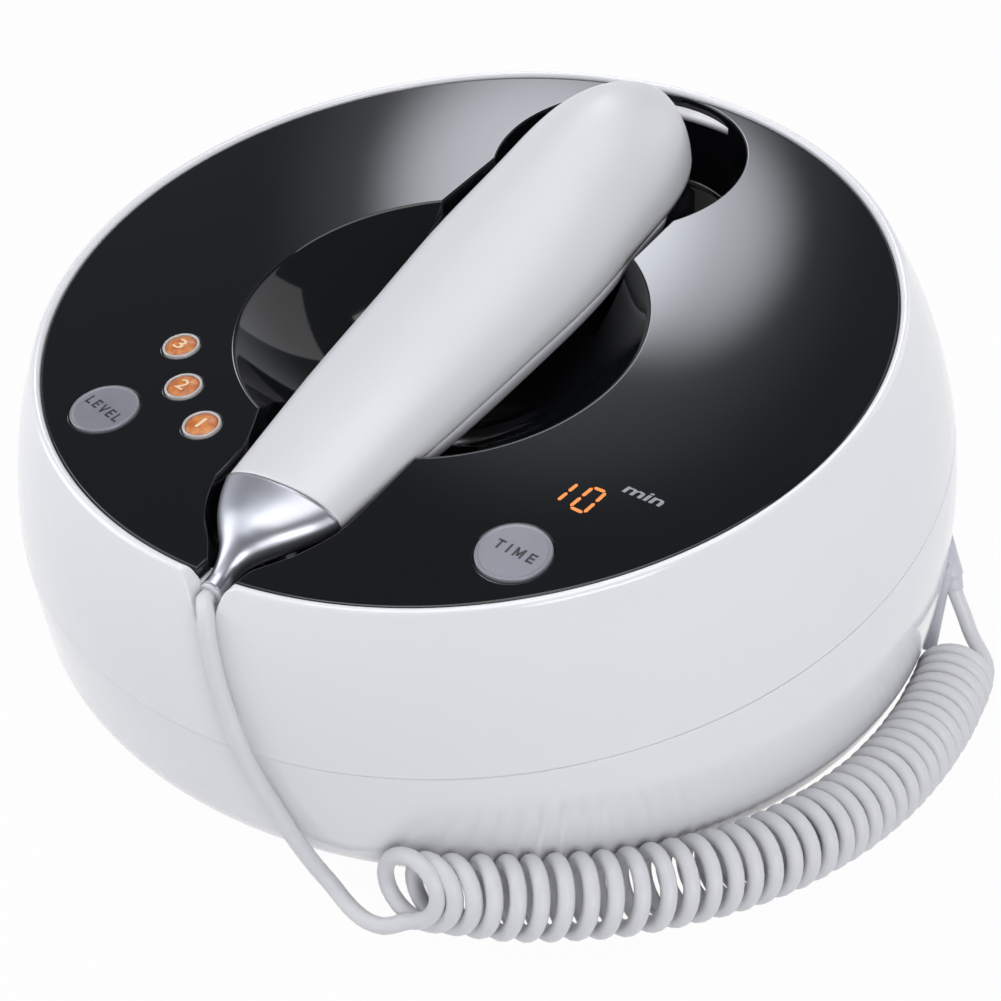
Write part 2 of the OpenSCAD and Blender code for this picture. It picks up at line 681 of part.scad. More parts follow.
// Hollow half shell, open at the seam plane; rows are [s, half width, height]
module half_skin(rows, t) {
  m = len(rows) - 1;
  n = arc_n;
  inner = [for (i = [0:m]) [rows[i][0] + (i == 0 ? t : i == m ? -t : 0), rows[i][1] - t, rows[i][2] - t]];
  pts = concat([for (r = rows) each arc_row(r[0], r[1], r[2])], [for (r = inner) each arc_row(r[0], r[1], r[2])]);
  step = n + 1;
  in0 = (m + 1) * step;
  skins = [for (i = [0:m - 1]) for (j = [0:n - 1]) each [
    [i * step + j, i * step + j + 1, (i + 1) * step + j + 1],
    [i * step + j, (i + 1) * step + j + 1, (i + 1) * step + j],
    [in0 + i * step + j, in0 + (i + 1) * step + j + 1, in0 + i * step + j + 1],
    [in0 + i * step + j, in0 + (i + 1) * step + j, in0 + (i + 1) * step + j + 1]]];
  rims = [for (i = [0:m - 1]) each [
    [i * step, (i + 1) * step, in0 + (i + 1) * step, in0 + i * step],
    [i * step + n, in0 + i * step + n, in0 + (i + 1) * step + n, (i + 1) * step + n]]];
  ends = [[for (j = [n:-1:0]) j], [for (j = [0:n]) m * step + j],
    [for (j = [0:n]) in0 + j], [for (j = [n:-1:0]) in0 + m * step + j],
    [0, in0, in0 + n, n], [in0 + m * step, m * step, m * step + n, in0 + m * step + n]];
  polyhedron(pts, concat(skins, rims, ends), convexity = 6);
}

cover_s = [cone_to, 35, 47, 60.9, 75, 90.5, 105, 120.1, 132, 144.9, 155, 163, 170, 176, 180.5,
  handle_len - 9.4, handle_len - 5.6, handle_len - 3.2, handle_len - 0.8];
base_s = [cone_to, 35, 47, 60.9, 75, 90.5, 105, 120.1, 132, 144.9, 155, 161, 165.5, 168.5, 171];
boss_s = [75, 128];
boss_meet = -8;
head_at = handle_len - 18.3;
collar_low = -12;
holder_low = -17;

module handle_cover() {
  color([0.93, 0.93, 0.96]) on_handle() difference() {
    union() {
      translate([0, 0, seam_w_handle])
        half_skin([for (s = cover_s) [s, half_w(s), top_w(s) - seam_w_handle]], handle_wall);
      for (s = boss_s)
        translate([0, s, boss_meet + board_t]) cylinder(d = 6, h = top_w(s) - 1 - boss_meet - board_t, $fn = 32);
    }
    for (s = boss_s) translate([0, s, boss_meet]) cylinder(d = 2.2, h = 12, $fn = 24);
  }
}

module handle_base() {
  color([0.84, 0.85, 0.88]) on_handle() difference() {
    union() {
      translate([0, 0, seam_w_handle]) mirror([0, 0, 1])
        half_skin([for (s = base_s) [s, base_half_w(s), base_low(s)]], handle_wall);
      for (s = boss_s) let (low = seam_w_handle - base_low(s) + 1)
        translate([0, s, low]) cylinder(d = 7, h = boss_meet - low, $fn = 32);
    }
    for (s = boss_s) translate([0, s, -20]) {
      cylinder(d = 2.8, h = 20, $fn = 24);
      cylinder(d = 5, h = 8.5, $fn = 32);
    }
    translate([0, head_at, -20]) cylinder(d = collar_d + 2 * gap, h = 30);
  }
}

module handle_screws() {
  color("silver") on_handle() for (s = boss_s) translate([0, s, -11.5]) {
    translate([0, 0, -1.8]) cylinder(d = 4.6, h = 1.8, $fn = 32);
    translate([0, 0, -eps]) cylinder(d = 2.2, h = 13, $fn = 24);
  }
}

module handle_board() {
  color("darkgreen") on_handle() difference() {
    translate([-13, 60, boss_meet]) cube([26, 90, board_t]);
    for (s = boss_s) translate([0, s, boss_meet - 1]) cylinder(d = 2.8, h = 4, $fn = 24);
  }
}

// Cross ring of the tail cone
function cone_row(s, mid, half, top, low) = [for (j = [0:19]) let (a = 18 * j)
  [mid + half * cos(a), s, (top + low) / 2 + (top - low) / 2 * sin(a)]];

// Closed loft through rings of equal count, first ring facing -s
module loft(rings) {
  n = len(rings[0]);
  m = len(rings) - 1;
  polyhedron([for (r = rings) each r], concat([[for (j = [n - 1:-1:0]) j]], [[for (j = [0:n - 1]) m * n + j]],
    [for (i = [0:m - 1]) for (j = [0:n - 1]) each [
      [i * n + j, i * n + (j + 1) % n, (i + 1) * n + (j + 1) % n],
      [i * n + j, (i + 1) * n + (j + 1) % n, (i + 1) * n + j]]]), convexity = 4);
}

module tail_cone() {
  h = handle_w / 2 * handle_rows[0][1];
  color([0.7, 0.71, 0.74]) on_handle() loft([cone_row(0, 0.8, 2.7, -2, -7.8), cone_row(3, 0.7, 2.6, -1.5, -7.4),
    cone_row(6, 0.5, 3, -0.3, -6.9), cone_row(9, 0.3, 4.3, 1.1, -6.5), cone_row(12, 0.1, 6.8, 2.5, -6.5),
    cone_row(16, 0, 10.1, 3.7, -7), cone_row(21, 0, 13.4, 4.3, -7.7), cone_row(cone_to, 0, h, 4.5, -8.1)]);
}

module tail_ring() {
  color([0.8, 0.81, 0.84]) on_handle(0.8, -0.9, -4.9) rotate([-90, 0, 0]) cylinder(d = 5.5, h = 0.9, $fn = 32);
}

module head_collar() {
  color([0.84, 0.85, 0.88]) on_handle(0, head_at) rotate_extrude()
    polygon([[collar_d / 2 - 3, collar_low], [collar_d / 2 - 0.8, collar_low], [collar_d / 2, collar_low + 0.8],
      [collar_d / 2, seam_w_handle - gap], [collar_d / 2 - 3, seam_w_handle - gap]]);
}

module electrode_holder() {
  color([0.3, 0.3, 0.33]) on_handle(0, head_at) difference() {
    rotate_extrude() polygon([[0, holder_low], [collar_d / 2 - 2.2, holder_low],
      [collar_d / 2 - 1.2, holder_low + 1], [collar_d / 2 - 1.2, collar_low], [collar_d / 2 - 3 - gap, collar_low],
      [collar_d / 2 - 3 - gap, collar_low + 3], [0, collar_low + 3]]);
    for (p = electrode_at) translate([p[0], p[1], holder_low - 1]) cylinder(d = 3.4, h = 12, $fn = 32);
  }
}

electrode_at = [for (a = [45:90:315]) [8.5 * cos(a), 8.5 * sin(a)]];

module electrodes() {
  color([0.8, 0.8, 0.82]) on_handle(0, head_at, holder_low) for (p = electrode_at) translate([p[0], p[1], 0])
    rotate_extrude() polygon(concat([[0, 6]], [[1.5, 6], [1.5, 0], [electrode_d / 2, 0]],
      [for (a = [0:15:75]) [electrode_d / 2 * cos(a), -0.4 - 1.8 * sin(a)]], [[0, -2.2]]));
}

// ---- cord: front lead, curly part and rear lead
lead_route = [[11.7, -113.6, 70.7], [12, -114.9, 70.8], [13.3, -116.2, 71.2], [14.8, -117.5, 70.7],
  [16, -118.7, 69.2], [17.1, -119.8, 65.7], [18.9, -120.8, 60.5], [21, -121.6, 54.4], [25.3, -122.5, 43.9], [27.9, -122, 35.1],
  [30.3, -120.6, 26.2], [33.2, -119.2, 17.6], [36.7, -118.5, 9.7], [41, -117, 3.9], [47.2, -117.2, 2.1],
  [53.6, -118, 2], [59, -116.7, 2], [64, -112.8, 4.2]];
curl_route = [[61.7, -114.5, 11.2], [71.6, -108.7, 11.2], [80.9, -102, 11.2], [91.3, -93, 11.1],
  [100.6, -82.9, 10.7], [110.1, -70, 10.2], [118.3, -56.2, 9.8], [124.6, -41.4, 9.7],
  [128.8, -25.9, 9.7], [130.7, -9.9, 9.7], [130.5, 6.1, 9.7], [128.9, 19.6, 9.7], [127.4, 28.1, 9.7]];
back_route = [[117.6, 39.4, 28.4], [120.2, 38, 24.8], [123.4, 36.9, 20.8], [127.2, 35.1, 16.4],
  [131.5, 32.8, 13.2], [134.2, 30.8, 11], [134.6, 28.4, 9.8]];

// A route with one more point between each two, on a smooth curve
function middle(a, b, c, d) = (9 * (b + c) - a - d) / 16;
function smooth_route(p) = let (n = len(p) - 1) concat([for (i = [0:n - 1]) each [p[i],
  middle(p[max(i - 1, 0)], p[i], p[i + 1], p[min(i + 2, n)])]], [p[n]]);
function unit(v) = v / norm(v);
function way(p, i) = unit(p[min(i + 1, len(p) - 1)] - p[max(i - 1, 0)]);

module tube(route, d, sides, ref) {
  p = smooth_route(route);
  loft([for (i = [0:len(p) - 1]) let (t = way(p, i), a = unit(cross(t, ref)), b = cross(t, a))
    [for (k = [0:sides - 1]) p[i] + d / 2 * (cos(360 * k / sides) * a + sin(360 * k / sides) * b)]]);
}

module handset_lead() { color("ghostwhite") tube(lead_route, cord_d, 8, [-1, 1, 1]); }
module handset_curl() { color("ghostwhite") tube(curl_route, curl_d, 12, [0, 0, 1]); }
module base_lead() { color("ghostwhite") tube(back_route, cord_d, 8, [0, 1, 0]); }

upper_shell();
lower_shell();
top_panel();
level_button();
time_button();
lamp_rings();
lamp_lenses();
level_board();
level_leds();
level_switch();
display_board();
display_module();
time_switch();
panel_screws();
board_screws();
main_board();
mains_transformer();
output_transformer();
heat_sink();
power_transistors();
capacitors();
relay();
fuse();
terminal_block();
chassis_screws();
case_screws();
rubber_feet();
rear_plate();
power_inlet();
switch_frame();
power_rocker();
cord_housing();
cord_gland();
handle_cover();
handle_base();
tail_cone();
tail_ring();
handle_board();
head_collar();
electrode_holder();
electrodes();
handle_screws();
handset_lead();
handset_curl();
base_lead();
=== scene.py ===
import math
import bpy, bmesh
import numpy as np
from mathutils import Matrix, Vector
from mathutils.geometry import delaunay_2d_cdt


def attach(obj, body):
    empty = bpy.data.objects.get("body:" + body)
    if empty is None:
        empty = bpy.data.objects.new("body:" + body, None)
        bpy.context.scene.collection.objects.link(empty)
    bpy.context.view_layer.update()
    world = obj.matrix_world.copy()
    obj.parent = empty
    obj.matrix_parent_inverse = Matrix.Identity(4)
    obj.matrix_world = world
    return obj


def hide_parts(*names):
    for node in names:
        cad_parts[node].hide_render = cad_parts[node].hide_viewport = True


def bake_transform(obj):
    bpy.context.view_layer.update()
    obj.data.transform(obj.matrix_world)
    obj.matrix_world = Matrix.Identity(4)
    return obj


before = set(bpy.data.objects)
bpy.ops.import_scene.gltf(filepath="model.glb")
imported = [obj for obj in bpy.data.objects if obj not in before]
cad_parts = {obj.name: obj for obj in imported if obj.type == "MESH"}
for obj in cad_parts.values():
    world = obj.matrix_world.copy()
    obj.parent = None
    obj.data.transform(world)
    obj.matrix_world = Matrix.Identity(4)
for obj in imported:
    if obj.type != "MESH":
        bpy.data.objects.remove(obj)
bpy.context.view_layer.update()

# ---- Camera
# The device stands on a table and is seen from the front right and from above,
# with a plain long lens.
view_azimuth, view_elevation = math.radians(36.52), math.radians(35.98)
view_from = Vector((0.2200, -0.2917, 0.2896))
view_back = Vector((math.sin(view_azimuth) * math.cos(view_elevation),
                    -math.cos(view_azimuth) * math.cos(view_elevation), math.sin(view_elevation)))
picture_width = 1001
focal_pixels = 1641.2
sensor_width = 36
scene = bpy.context.scene


def linked(name, data):
    """A new object in the scene, with its data."""
    made = bpy.data.objects.new(name, data)
    scene.collection.objects.link(made)
    return made


camera = linked("camera", bpy.data.cameras.new("camera"))
camera.data.sensor_width = sensor_width
camera.data.lens = focal_pixels / picture_width * sensor_width
camera.data.clip_start = 0.01
camera.location = view_from
camera.rotation_euler = view_back.to_track_quat("Z", "Y").to_euler()
scene.camera = camera

# ---- Handpiece cord
# A soft white lead out of the tail ring, down the front wall, a long left-handed curl of
# 36 turns round the right side, and a short lead up into the gland in the casing. PVC.
mm = 0.001
cord_d = 3.8
turn_r = 7.7
turns = 36.2
turn_points = 24
lead_route = [(11.7, -113.4, 70.75), (12, -114.9, 70.8), (13.3, -116.2, 71.2), (14.8, -117.5, 70.7),
              (16, -118.7, 69.2), (17.1, -119.8, 65.7), (18.9, -120.8, 60.5), (21, -121.6, 54.4),
              (25.3, -122.5, 43.9), (28.2, -121.7, 35.1), (31.1, -120, 26.2), (34.4, -118.5, 17.6),
              (38.7, -117, 9.7), (42.7, -115.8, 4.2), (47.7, -116.7, 2.3), (52, -117.5, 2)]
meet_front, meet_back = [(55.6, -117.5, 2), (59.2, -116.6, 2.6)], [(133.6, 31.4, 12.0)]
exit_at = (117.6, 39.4, 28.4)
exit_way = (0.56, -0.3, -0.77)
back_route = [(127.2, 35.1, 16.4), (123.4, 36.9, 20.8), (120.2, 38, 24.8), exit_at]
# The curl's axis, polar about the casing's foot: azimuth, radius, height
curl_azimuth = [27.7, 32, 38, 44, 50, 57, 64, 71, 78, 85, 92, 98, 101.8]
curl_radius = [129.2, 129.7, 130.2, 130.6, 131.0, 131.2, 131.6, 131.8, 131.7, 131.2, 130.6, 130.2, 130.1]
curl_height = [12.4, 12.3, 12.0, 11.6, 11.0, 10.3, 9.8, 9.7, 9.7, 9.7, 9.7, 9.7, 9.7]
foot_centre_y = 1.5


def smooth_line(points, n):
    """Points on a smooth curve through the given ones, n to each stretch."""
    p = np.asarray(points, float)
    p = np.vstack([2 * p[0] - p[1], p, 2 * p[-1] - p[-2]])
    out = []
    for i in range(1, len(p) - 2):
        for t in np.linspace(0, 1, n, endpoint=False):
            out.append(0.5 * (2 * p[i] + (p[i + 1] - p[i - 1]) * t
                              + (2 * p[i - 1] - 5 * p[i] + 4 * p[i + 1] - p[i + 2]) * t * t
                              + (3 * p[i] - p[i - 1] - 3 * p[i + 1] + p[i + 2]) * t ** 3))
    return np.array(out + [p[-2]])


def unit_rows(v):
    return v / np.linalg.norm(v, axis=-1, keepdims=True)


def curl_line():
    """Centreline of the curl: turns that lean and open at the start, and close up to the rear."""
    a = np.radians(curl_azimuth)
    axis = smooth_line(np.c_[curl_radius * np.sin(a), foot_centre_y - curl_radius * np.cos(a), curl_height], 12)
    along = np.r_[0, np.cumsum(np.linalg.norm(np.diff(axis, axis=0), axis=1))]
    k = np.arange(int(turns * turn_points) + 1) / turn_points
    pitch = np.interp(k, [0, 1, 2, 10, 15, 25, 37], [4.4, 5.0, 5.6, 5.6, 4.9, 4.35, 4.1])
    pitch = pitch * (1 + 0.045 * np.sin(2.1 * k + 0.6) + 0.03 * np.sin(0.83 * k))
    place = np.r_[0, np.cumsum((pitch[1:] + pitch[:-1]) / 2)]
    place = place / place[-1] * along[-1]
    centre = np.c_[tuple(np.interp(place, along, axis[:, i]) for i in range(3))]
    ahead = np.gradient(axis, axis=0)
    ahead = unit_rows(np.c_[np.interp(place, along, ahead[:, 0]), np.interp(place, along, ahead[:, 1]), 0 * place])
    out = np.c_[ahead[:, 1], -ahead[:, 0], 0 * place]
    turn_marks = [0, 1, 2, 3, 4, 6, 9, 12, 20, 28, 37]
    yaw = np.radians(np.interp(k, turn_marks, [62, 56, 45, 32, 22, 14, 9, 7, 8, 7, 5]))[:, None]
    tip = np.radians(np.interp(k, turn_marks, [15, 15, 14, 13, 12, 11, 10, 9, 6, 4, 3]))[:, None]
    reach = turn_r * np.interp(k, [0, 0.6, 1.5, 3], [1.22, 1.2, 1.1, 1.02])[:, None]
    side = out * np.cos(yaw) + ahead * np.sin(yaw)
    up = np.array([0, 0, 1.0]) * np.cos(tip) + ahead * np.sin(tip)
    turn = (2 * math.pi * k)[:, None]
    return centre + reach * (-np.cos(turn) * up + np.sin(turn) * side)


def even_line(points, step):
    """The same line with points an even step apart."""
    along = np.r_[0, np.cumsum(np.linalg.norm(np.diff(points, axis=0), axis=1))]
    at = np.linspace(0, along[-1], int(along[-1] / step) + 1)
    return np.c_[tuple(np.interp(at, along, points[:, i]) for i in range(3))]


def new_piece(name, points, faces, recalc=True, smooth=True):
    """An object from points in millimetres and faces, with its normals outwards."""
    mesh = bpy.data.meshes.new(name)
    work = bmesh.new()
    verts = [work.verts.new(tuple(p)) for p in np.asarray(points, float) * mm]
    for f in faces:
        if len(set(f)) > 2:
            try:
                work.faces.new([verts[i] for i in f])
            except ValueError:
                pass
    bmesh.ops.delete(work, geom=[v for v in work.verts if not v.link_faces], context="VERTS")
    if recalc:
        bmesh.ops.recalc_face_normals(work, faces=work.faces)
    for f in work.faces:
        f.smooth = smooth
    work.to_mesh(mesh)
    work.free()
    return linked(name, mesh)


def loft_faces(rings, count, caps=True, start=0, closed=False):
    """Faces between rings of points, with caps, or closed from the last ring to the first."""
    faces = [[start + i * count + j, start + i * count + (j + 1) % count,
              start + (i + 1) % rings * count + (j + 1) % count, start + (i + 1) % rings * count + j]
             for i in range(rings if closed else rings - 1) for j in range(count)]
    if caps:
        faces.append([start + j for j in range(count - 1, -1, -1)])
        faces.append([start + (rings - 1) * count + j for j in range(count)])
    return faces


def tube(name, line, radii, sides=16):
    """A round tube along a line, with its section carried on without a twist."""
    ahead = unit_rows(np.gradient(line, axis=0))
    side = np.cross(ahead[0], [0.3, 0.2, 1.0])
    rings = []
    for p, t, r in zip(line, ahead, radii):
        side = side - t * (side @ t)
        side /= np.linalg.norm(side)
        other = np.cross(t, side)
        a = np.linspace(0, 2 * math.pi, sides, endpoint=False)[:, None]
        rings.append(p + r * (np.cos(a) * side + np.sin(a) * other))
    return new_piece(name, np.vstack(rings), loft_faces(len(rings), sides))


curl = curl_line()
cord_line = np.vstack([smooth_line(lead_route + meet_front + [tuple(curl[2]), tuple(curl[5])], 8)[:-8], curl[3:-1],
                       smooth_line([tuple(curl[-4]), tuple(curl[-1])] + meet_back + back_route, 8)[8:]])
cord_line = even_line(cord_line, 2.0)
cord = tube("handset_cord", cord_line, np.full(len(cord_line), cord_d / 2), 14)


class Tree:
    """A node tree, with short ways to add nodes to it."""

    def __init__(self, tree):
        self.nodes, self.links = tree.nodes, tree.links

    def feed(self, socket, value):
        """Links a socket, or sets its plain value; a colour may have three parts."""
        if isinstance(value, bpy.types.NodeSocket):
            self.links.new(value, socket)
        else:
            socket.default_value = (*value, 1) if socket.type == "RGBA" and len(value) == 3 else value

    def node(self, kind, **inputs):
        made = self.nodes.new(kind)
        for name, value in inputs.items():
            self.feed(made.inputs[name.replace("_", " ")], value)
        return made

    def maths(self, operation, a, b=0.0):
        made = self.nodes.new("ShaderNodeMath")
        made.operation = operation
        self.feed(made.inputs[0], a)
        self.feed(made.inputs[1], b)
        return made.outputs[0]

    def mix(self, share, a, b):
        """One colour where share is 0, and the other where it is 1."""
        made = self.nodes.new("ShaderNodeMix")
        made.data_type = "RGBA"
        for socket, value in ((made.inputs["Factor"], share), (made.inputs[6], a), (made.inputs[7], b)):
            self.feed(socket, value)
        return made.outputs[2]

    def ramp(self, value, from_low, from_high, low, high, kind="LINEAR"):
        made = self.nodes.new("ShaderNodeMapRange")
        made.interpolation_type = kind
        for socket, v in zip(made.inputs, (value, from_low, from_high, low, high)):
            self.feed(socket, v)
        return made.outputs["Result"]


def new_group(name, kind, inputs, outputs):
    """A node group with its named inputs and outputs, and the nodes at its two ends."""
    group = bpy.data.node_groups.new(name, kind)
    for in_out, sockets in (("INPUT", inputs), ("OUTPUT", outputs)):
        for label, socket_kind in sockets.items():
            group.interface.new_socket(label, in_out=in_out, socket_type="NodeSocket" + socket_kind)
    tree = Tree(group)
    return group, tree, tree.node("NodeGroupInput").outputs, tree.node("NodeGroupOutput").inputs


# Fine moulding marks that most of the finishes share: soft clouds and a fine grain
marks, tree, start, end = new_group("moulding_marks", "ShaderNodeTree", {
    "Place": "Vector", "Cloud Scale": "Float", "Grain Scale": "Float"}, {"Cloud": "Float", "Grain": "Float"})
for name, detail in (("Cloud", 3), ("Grain", 2)):
    noise = tree.node("ShaderNodeTexNoise", Vector=start["Place"], Scale=start[name + " Scale"], Detail=detail)
    tree.feed(end[name], noise.outputs["Fac"])


class Finish(Tree):
    """A Principled material with the moulding marks in its colour, roughness and bump."""

    def __init__(self, name, colour, rough, metal=0.0, tone=0.03, cloud=60, grain=900, bump=0.02,
                 rough_change=0.03, coat=0.0, coat_rough=0.05):
        self.material = bpy.data.materials.new(name)
        self.material.use_nodes = True
        super().__init__(self.material.node_tree)
        self.shader = self.nodes["Principled BSDF"]
        self.place = self.node("ShaderNodeTexCoord").outputs["Object"]
        group = self.nodes.new("ShaderNodeGroup")
        group.node_tree = marks
        for label, value in (("Place", self.place), ("Cloud Scale", cloud), ("Grain Scale", grain)):
            self.feed(group.inputs[label], value)
        clouds = group.outputs["Cloud"]
        self.colour = self.mix(clouds, [c * (1 - tone) for c in colour], [min(1, c * (1 + tone)) for c in colour])
        self.bump = self.node("ShaderNodeBump", Strength=1.0, Distance=bump * mm, Height=group.outputs["Grain"])
        self.set(Base_Color=self.colour, Metallic=metal, Coat_Weight=coat, Coat_Roughness=coat_rough,
                 Roughness=self.ramp(clouds, 0.3, 0.7, rough - rough_change, rough + rough_change),
                 Normal=self.bump.outputs["Normal"])

    def set(self, **inputs):
        """Links or sets inputs of the Principled shader."""
        for name, value in inputs.items():
            self.feed(self.shader.inputs[name.replace("_", " ")], value)

    def wave(self, scale, direction="X", distortion=0.0):
        made = self.node("ShaderNodeTexWave", Vector=self.place, Scale=scale, Distortion=distortion)
        made.bands_direction = direction
        return made.outputs["Fac"]

    def recolour(self, share, other):
        """Mixes another colour in where share is 1."""
        self.colour = self.mix(share, self.colour, other)
        self.set(Base_Color=self.colour)

    def raise_by(self, height):
        """Adds a pattern to the height of the bump."""
        socket = self.bump.inputs["Height"]
        self.feed(socket, self.maths("ADD", socket.links[0].from_socket, height))


def dress(piece, finish, slot, body, *nodes):
    """Gives a piece its finish and body, and hides the nodes that it stands for; the slot is not used."""
    piece.data.materials.clear()
    piece.data.materials.append(finish.material)
    if body:
        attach(piece, body)
    if nodes:
        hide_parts(*nodes)
    return piece


cord_white = Finish("cord_white", (0.70, 0.70, 0.72), 0.36, tone=0.02, cloud=90, grain=2500, bump=0.012)
dress(cord, cord_white, "cord_white", None, "handset_lead", "handset_curl", "base_lead")
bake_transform(cord)

# ---- Cord gland
# A smooth grey plastic sleeve in the casing's right rear wall, where the cord goes in. Its
# outer end tapers to the cord, and 11 mm of it is inside.
gland_profile = [(-11, 3.2), (-0.2, 3.2), (0.1, 3.1), (0.3, 2.8), (1.2, 2.6), (2.4, 2.4), (3.4, 2.25), (3.7, 2.1),
                 (3.75, 1.85), (-11, 1.85)]


def lathe(profile, sides):
    """Points and faces of a turned body; the profile is (height, radius) and closes on itself."""
    a = np.linspace(0, 2 * math.pi, sides, endpoint=False)
    points = np.vstack([np.c_[r * np.cos(a), r * np.sin(a), np.full(sides, z)] for z, r in profile])
    return points, loft_faces(len(profile), sides, caps=False, closed=True)


def turned(profile, sides):
    """A turned solid whose profile starts and ends on the axis."""
    points = lathe(profile[1:-1], sides)[0]
    base = len(points)
    last = base - sides
    faces = loft_faces(len(profile) - 2, sides, caps=False)
    faces += [[base, (j + 1) % sides, j] for j in range(sides)]
    faces += [[base + 1, last + j, last + (j + 1) % sides] for j in range(sides)]
    return np.vstack([points, [0, 0, profile[0][0]], [0, 0, profile[-1][0]]]), faces


def several(name, parts, **options):
    """One object from several sets of points and faces."""
    points, faces, start = [], [], 0
    for p, f in parts:
        points.append(p)
        faces += [[i + start for i in face] for face in f]
        start += len(p)
    return new_piece(name, np.vstack(points), faces, **options)


exit_turn = Vector(exit_way).to_track_quat("Z", "Y").to_matrix()
points, faces = lathe(gland_profile, 48)
gland = new_piece("cord_sleeve", points @ np.array(exit_turn).T + exit_at, faces)
grey_plastic = Finish("grey_plastic", (0.62, 0.63, 0.68), 0.34, tone=0.03, cloud=80, grain=1800, bump=0.015)
dress(gland, grey_plastic, "grey_plastic", "base", "cord_gland")

# ---- Upper shell
# A glossy white ABS ring with a soft lip round the panel and a scoop for the cord in front.
# It sits on the lower shell and is held by four screws from below.
body_r, upper_arc, lower_arc, belly = 122.5, 120.0, 165.0, 58.0
seam_depth, wall = 36.0, 2.5
panel_tilt = math.radians(9.45)
panel_centre = np.array([0, -9.75, 93.0])
panel_axes = np.array([[1, 0, 0], [0, math.cos(panel_tilt), math.sin(panel_tilt)],
                       [0, -math.sin(panel_tilt), math.cos(panel_tilt)]])


def on_panel(points):
    """From places on the panel, (right, up the slope, out), to the common frame."""
    return panel_centre + np.asarray(points, float) @ panel_axes


def wall_r(w):
    w = np.asarray(w, float)
    arc = np.where(w > -belly, upper_arc, lower_arc)
    return body_r - arc + np.sqrt(np.maximum(arc ** 2 - (w + belly) ** 2, 0))


rim_r = float(wall_r(0))
lip_r = rim_r - 2.6
panel_r = lip_r - 0.2
scoop_at = 13.4
lip = [(rim_r - 0.02, 0.0), (rim_r - 0.2, 0.38), (rim_r - 0.5, 0.68), (rim_r - 0.9, 0.9), (rim_r - 1.3, 0.98),
       (rim_r - 1.7, 0.93), (rim_r - 2.05, 0.78), (rim_r - 2.35, 0.5), (rim_r - 2.55, 0.15), (lip_r, -0.3),
       (lip_r, -1.5), (lip_r, -3.0)]
outer = [(float(wall_r(w)), w) for w in np.linspace(-seam_depth + 0.45, -0.35, 34)]
seam_r = float(wall_r(-seam_depth))
seam_edge = [(seam_r - inset, -seam_depth + up) for inset, up in ((0.45, 0.1), (0.16, 0.16), (0.02, 0.3))]
inner = [(lip_r - 4, -3.0), (lip_r - 4, -5.0), (float(wall_r(-6)) - wall - 1, -6.0)]
inner += [(float(wall_r(w)) - wall, w) for w in (-10, -16, -22, -28, -35.9)]
shell_profile = seam_edge + outer + lip + inner
scoop_turn = math.degrees(math.atan2(-rim_r, scoop_at))
around = np.unique(np.round(np.r_[np.arange(0, 360, 1.25), scoop_turn % 360 + np.arange(-6, 6.01, 0.16)], 3))
a = np.radians(around)
grid = np.array([np.c_[r * np.cos(a), r * np.sin(a), np.full(len(a), w)] for r, w in shell_profile])
u, v, w = grid[..., 0], grid[..., 1], grid[..., 2]
scoop_x = [0, 1.2, 2.2, 2.9, 3.5, 4.2, 5.0, 5.8, 6.8, 7.8, 8]
scoop_w = [-8.3, -8.0, -7.1, -5.8, -4.2, -2.4, -0.9, 0.05, 0.65, 0.95, 9]
floor_w = np.interp(np.abs(u - scoop_at + 0.16 * np.clip(w + 6, 0, 6)), scoop_x, scoop_w)
lowered = np.where((v < 0) & (w > -12), np.minimum(w, floor_w), w)
grid[..., 2] = lowered
ring_faces = loft_faces(len(shell_profile), len(a), caps=False, closed=True)
upper_shell = new_piece("shell_upper", on_panel(grid.reshape(-1, 3)), ring_faces)
shell_white = Finish("shell_white", (0.80, 0.80, 0.825), 0.13, tone=0.008, cloud=14, grain=260, bump=0.003,
                     rough_change=0.02, coat=0.35)
dress(upper_shell, shell_white, "shell_white", "base", "upper_shell")

# ---- Lower shell
# The deeper white ABS tub under the seam, with a rounded foot, moulded in one piece with the
# columns for the case screws. A window at the back takes the rear plate; the frame that
# holds the plate is not made here.
foot_round, floor_h = 18.0, 2.0
pan_lean, pan_lean_z = 1.7, 38.0
rear_box = ((-35.2, 111.0, 11.8), (35.2, 130.0, 42.2))
column_at = [(-102, -44), (102, -44), (-78, 78), (78, 78)]
seat_under_seam = 10
feet_at = [(-68, -62), (68, -62), (-68, 66), (68, 66)]
round_steps = 288


def tilted_gap(x, y, z):
    """How far a point is outside the tilted body of turning, along its radius."""
    d = np.stack([x, y, z], -1) - panel_centre
    return np.hypot(d @ panel_axes[0], d @ panel_axes[1]) - wall_r(d @ panel_axes[2])


def pan_r(z):
    lean = body_r + pan_lean * np.clip((z - foot_round) / (pan_lean_z - foot_round), 0, 1)
    corner = body_r - foot_round + np.sqrt(np.maximum(foot_round ** 2 - np.minimum(z - foot_round, 0) ** 2, 0))
    return np.where(z > foot_round, lean, corner)


def form_r(turn, z):
    """Radius of the lower form at a height, along an azimuth about the foot's centre."""
    well_inside, well_outside = 60.0, 150.0
    low, high = np.full(z.shape, well_inside), np.full(z.shape, well_outside)
    for _ in range(40):
        middle = (low + high) / 2
        gap = tilted_gap(middle * np.sin(turn), foot_centre_y - middle * np.cos(turn), z)
        low, high = np.where(gap < 0, middle, low), np.where(gap < 0, high, middle)
    pan, soft = pan_r(z), 0.9
    h = np.clip(0.5 + 0.5 * (pan - low) / soft, 0, 1)
    return pan * (1 - h) + low * h - soft * h * (1 - h)


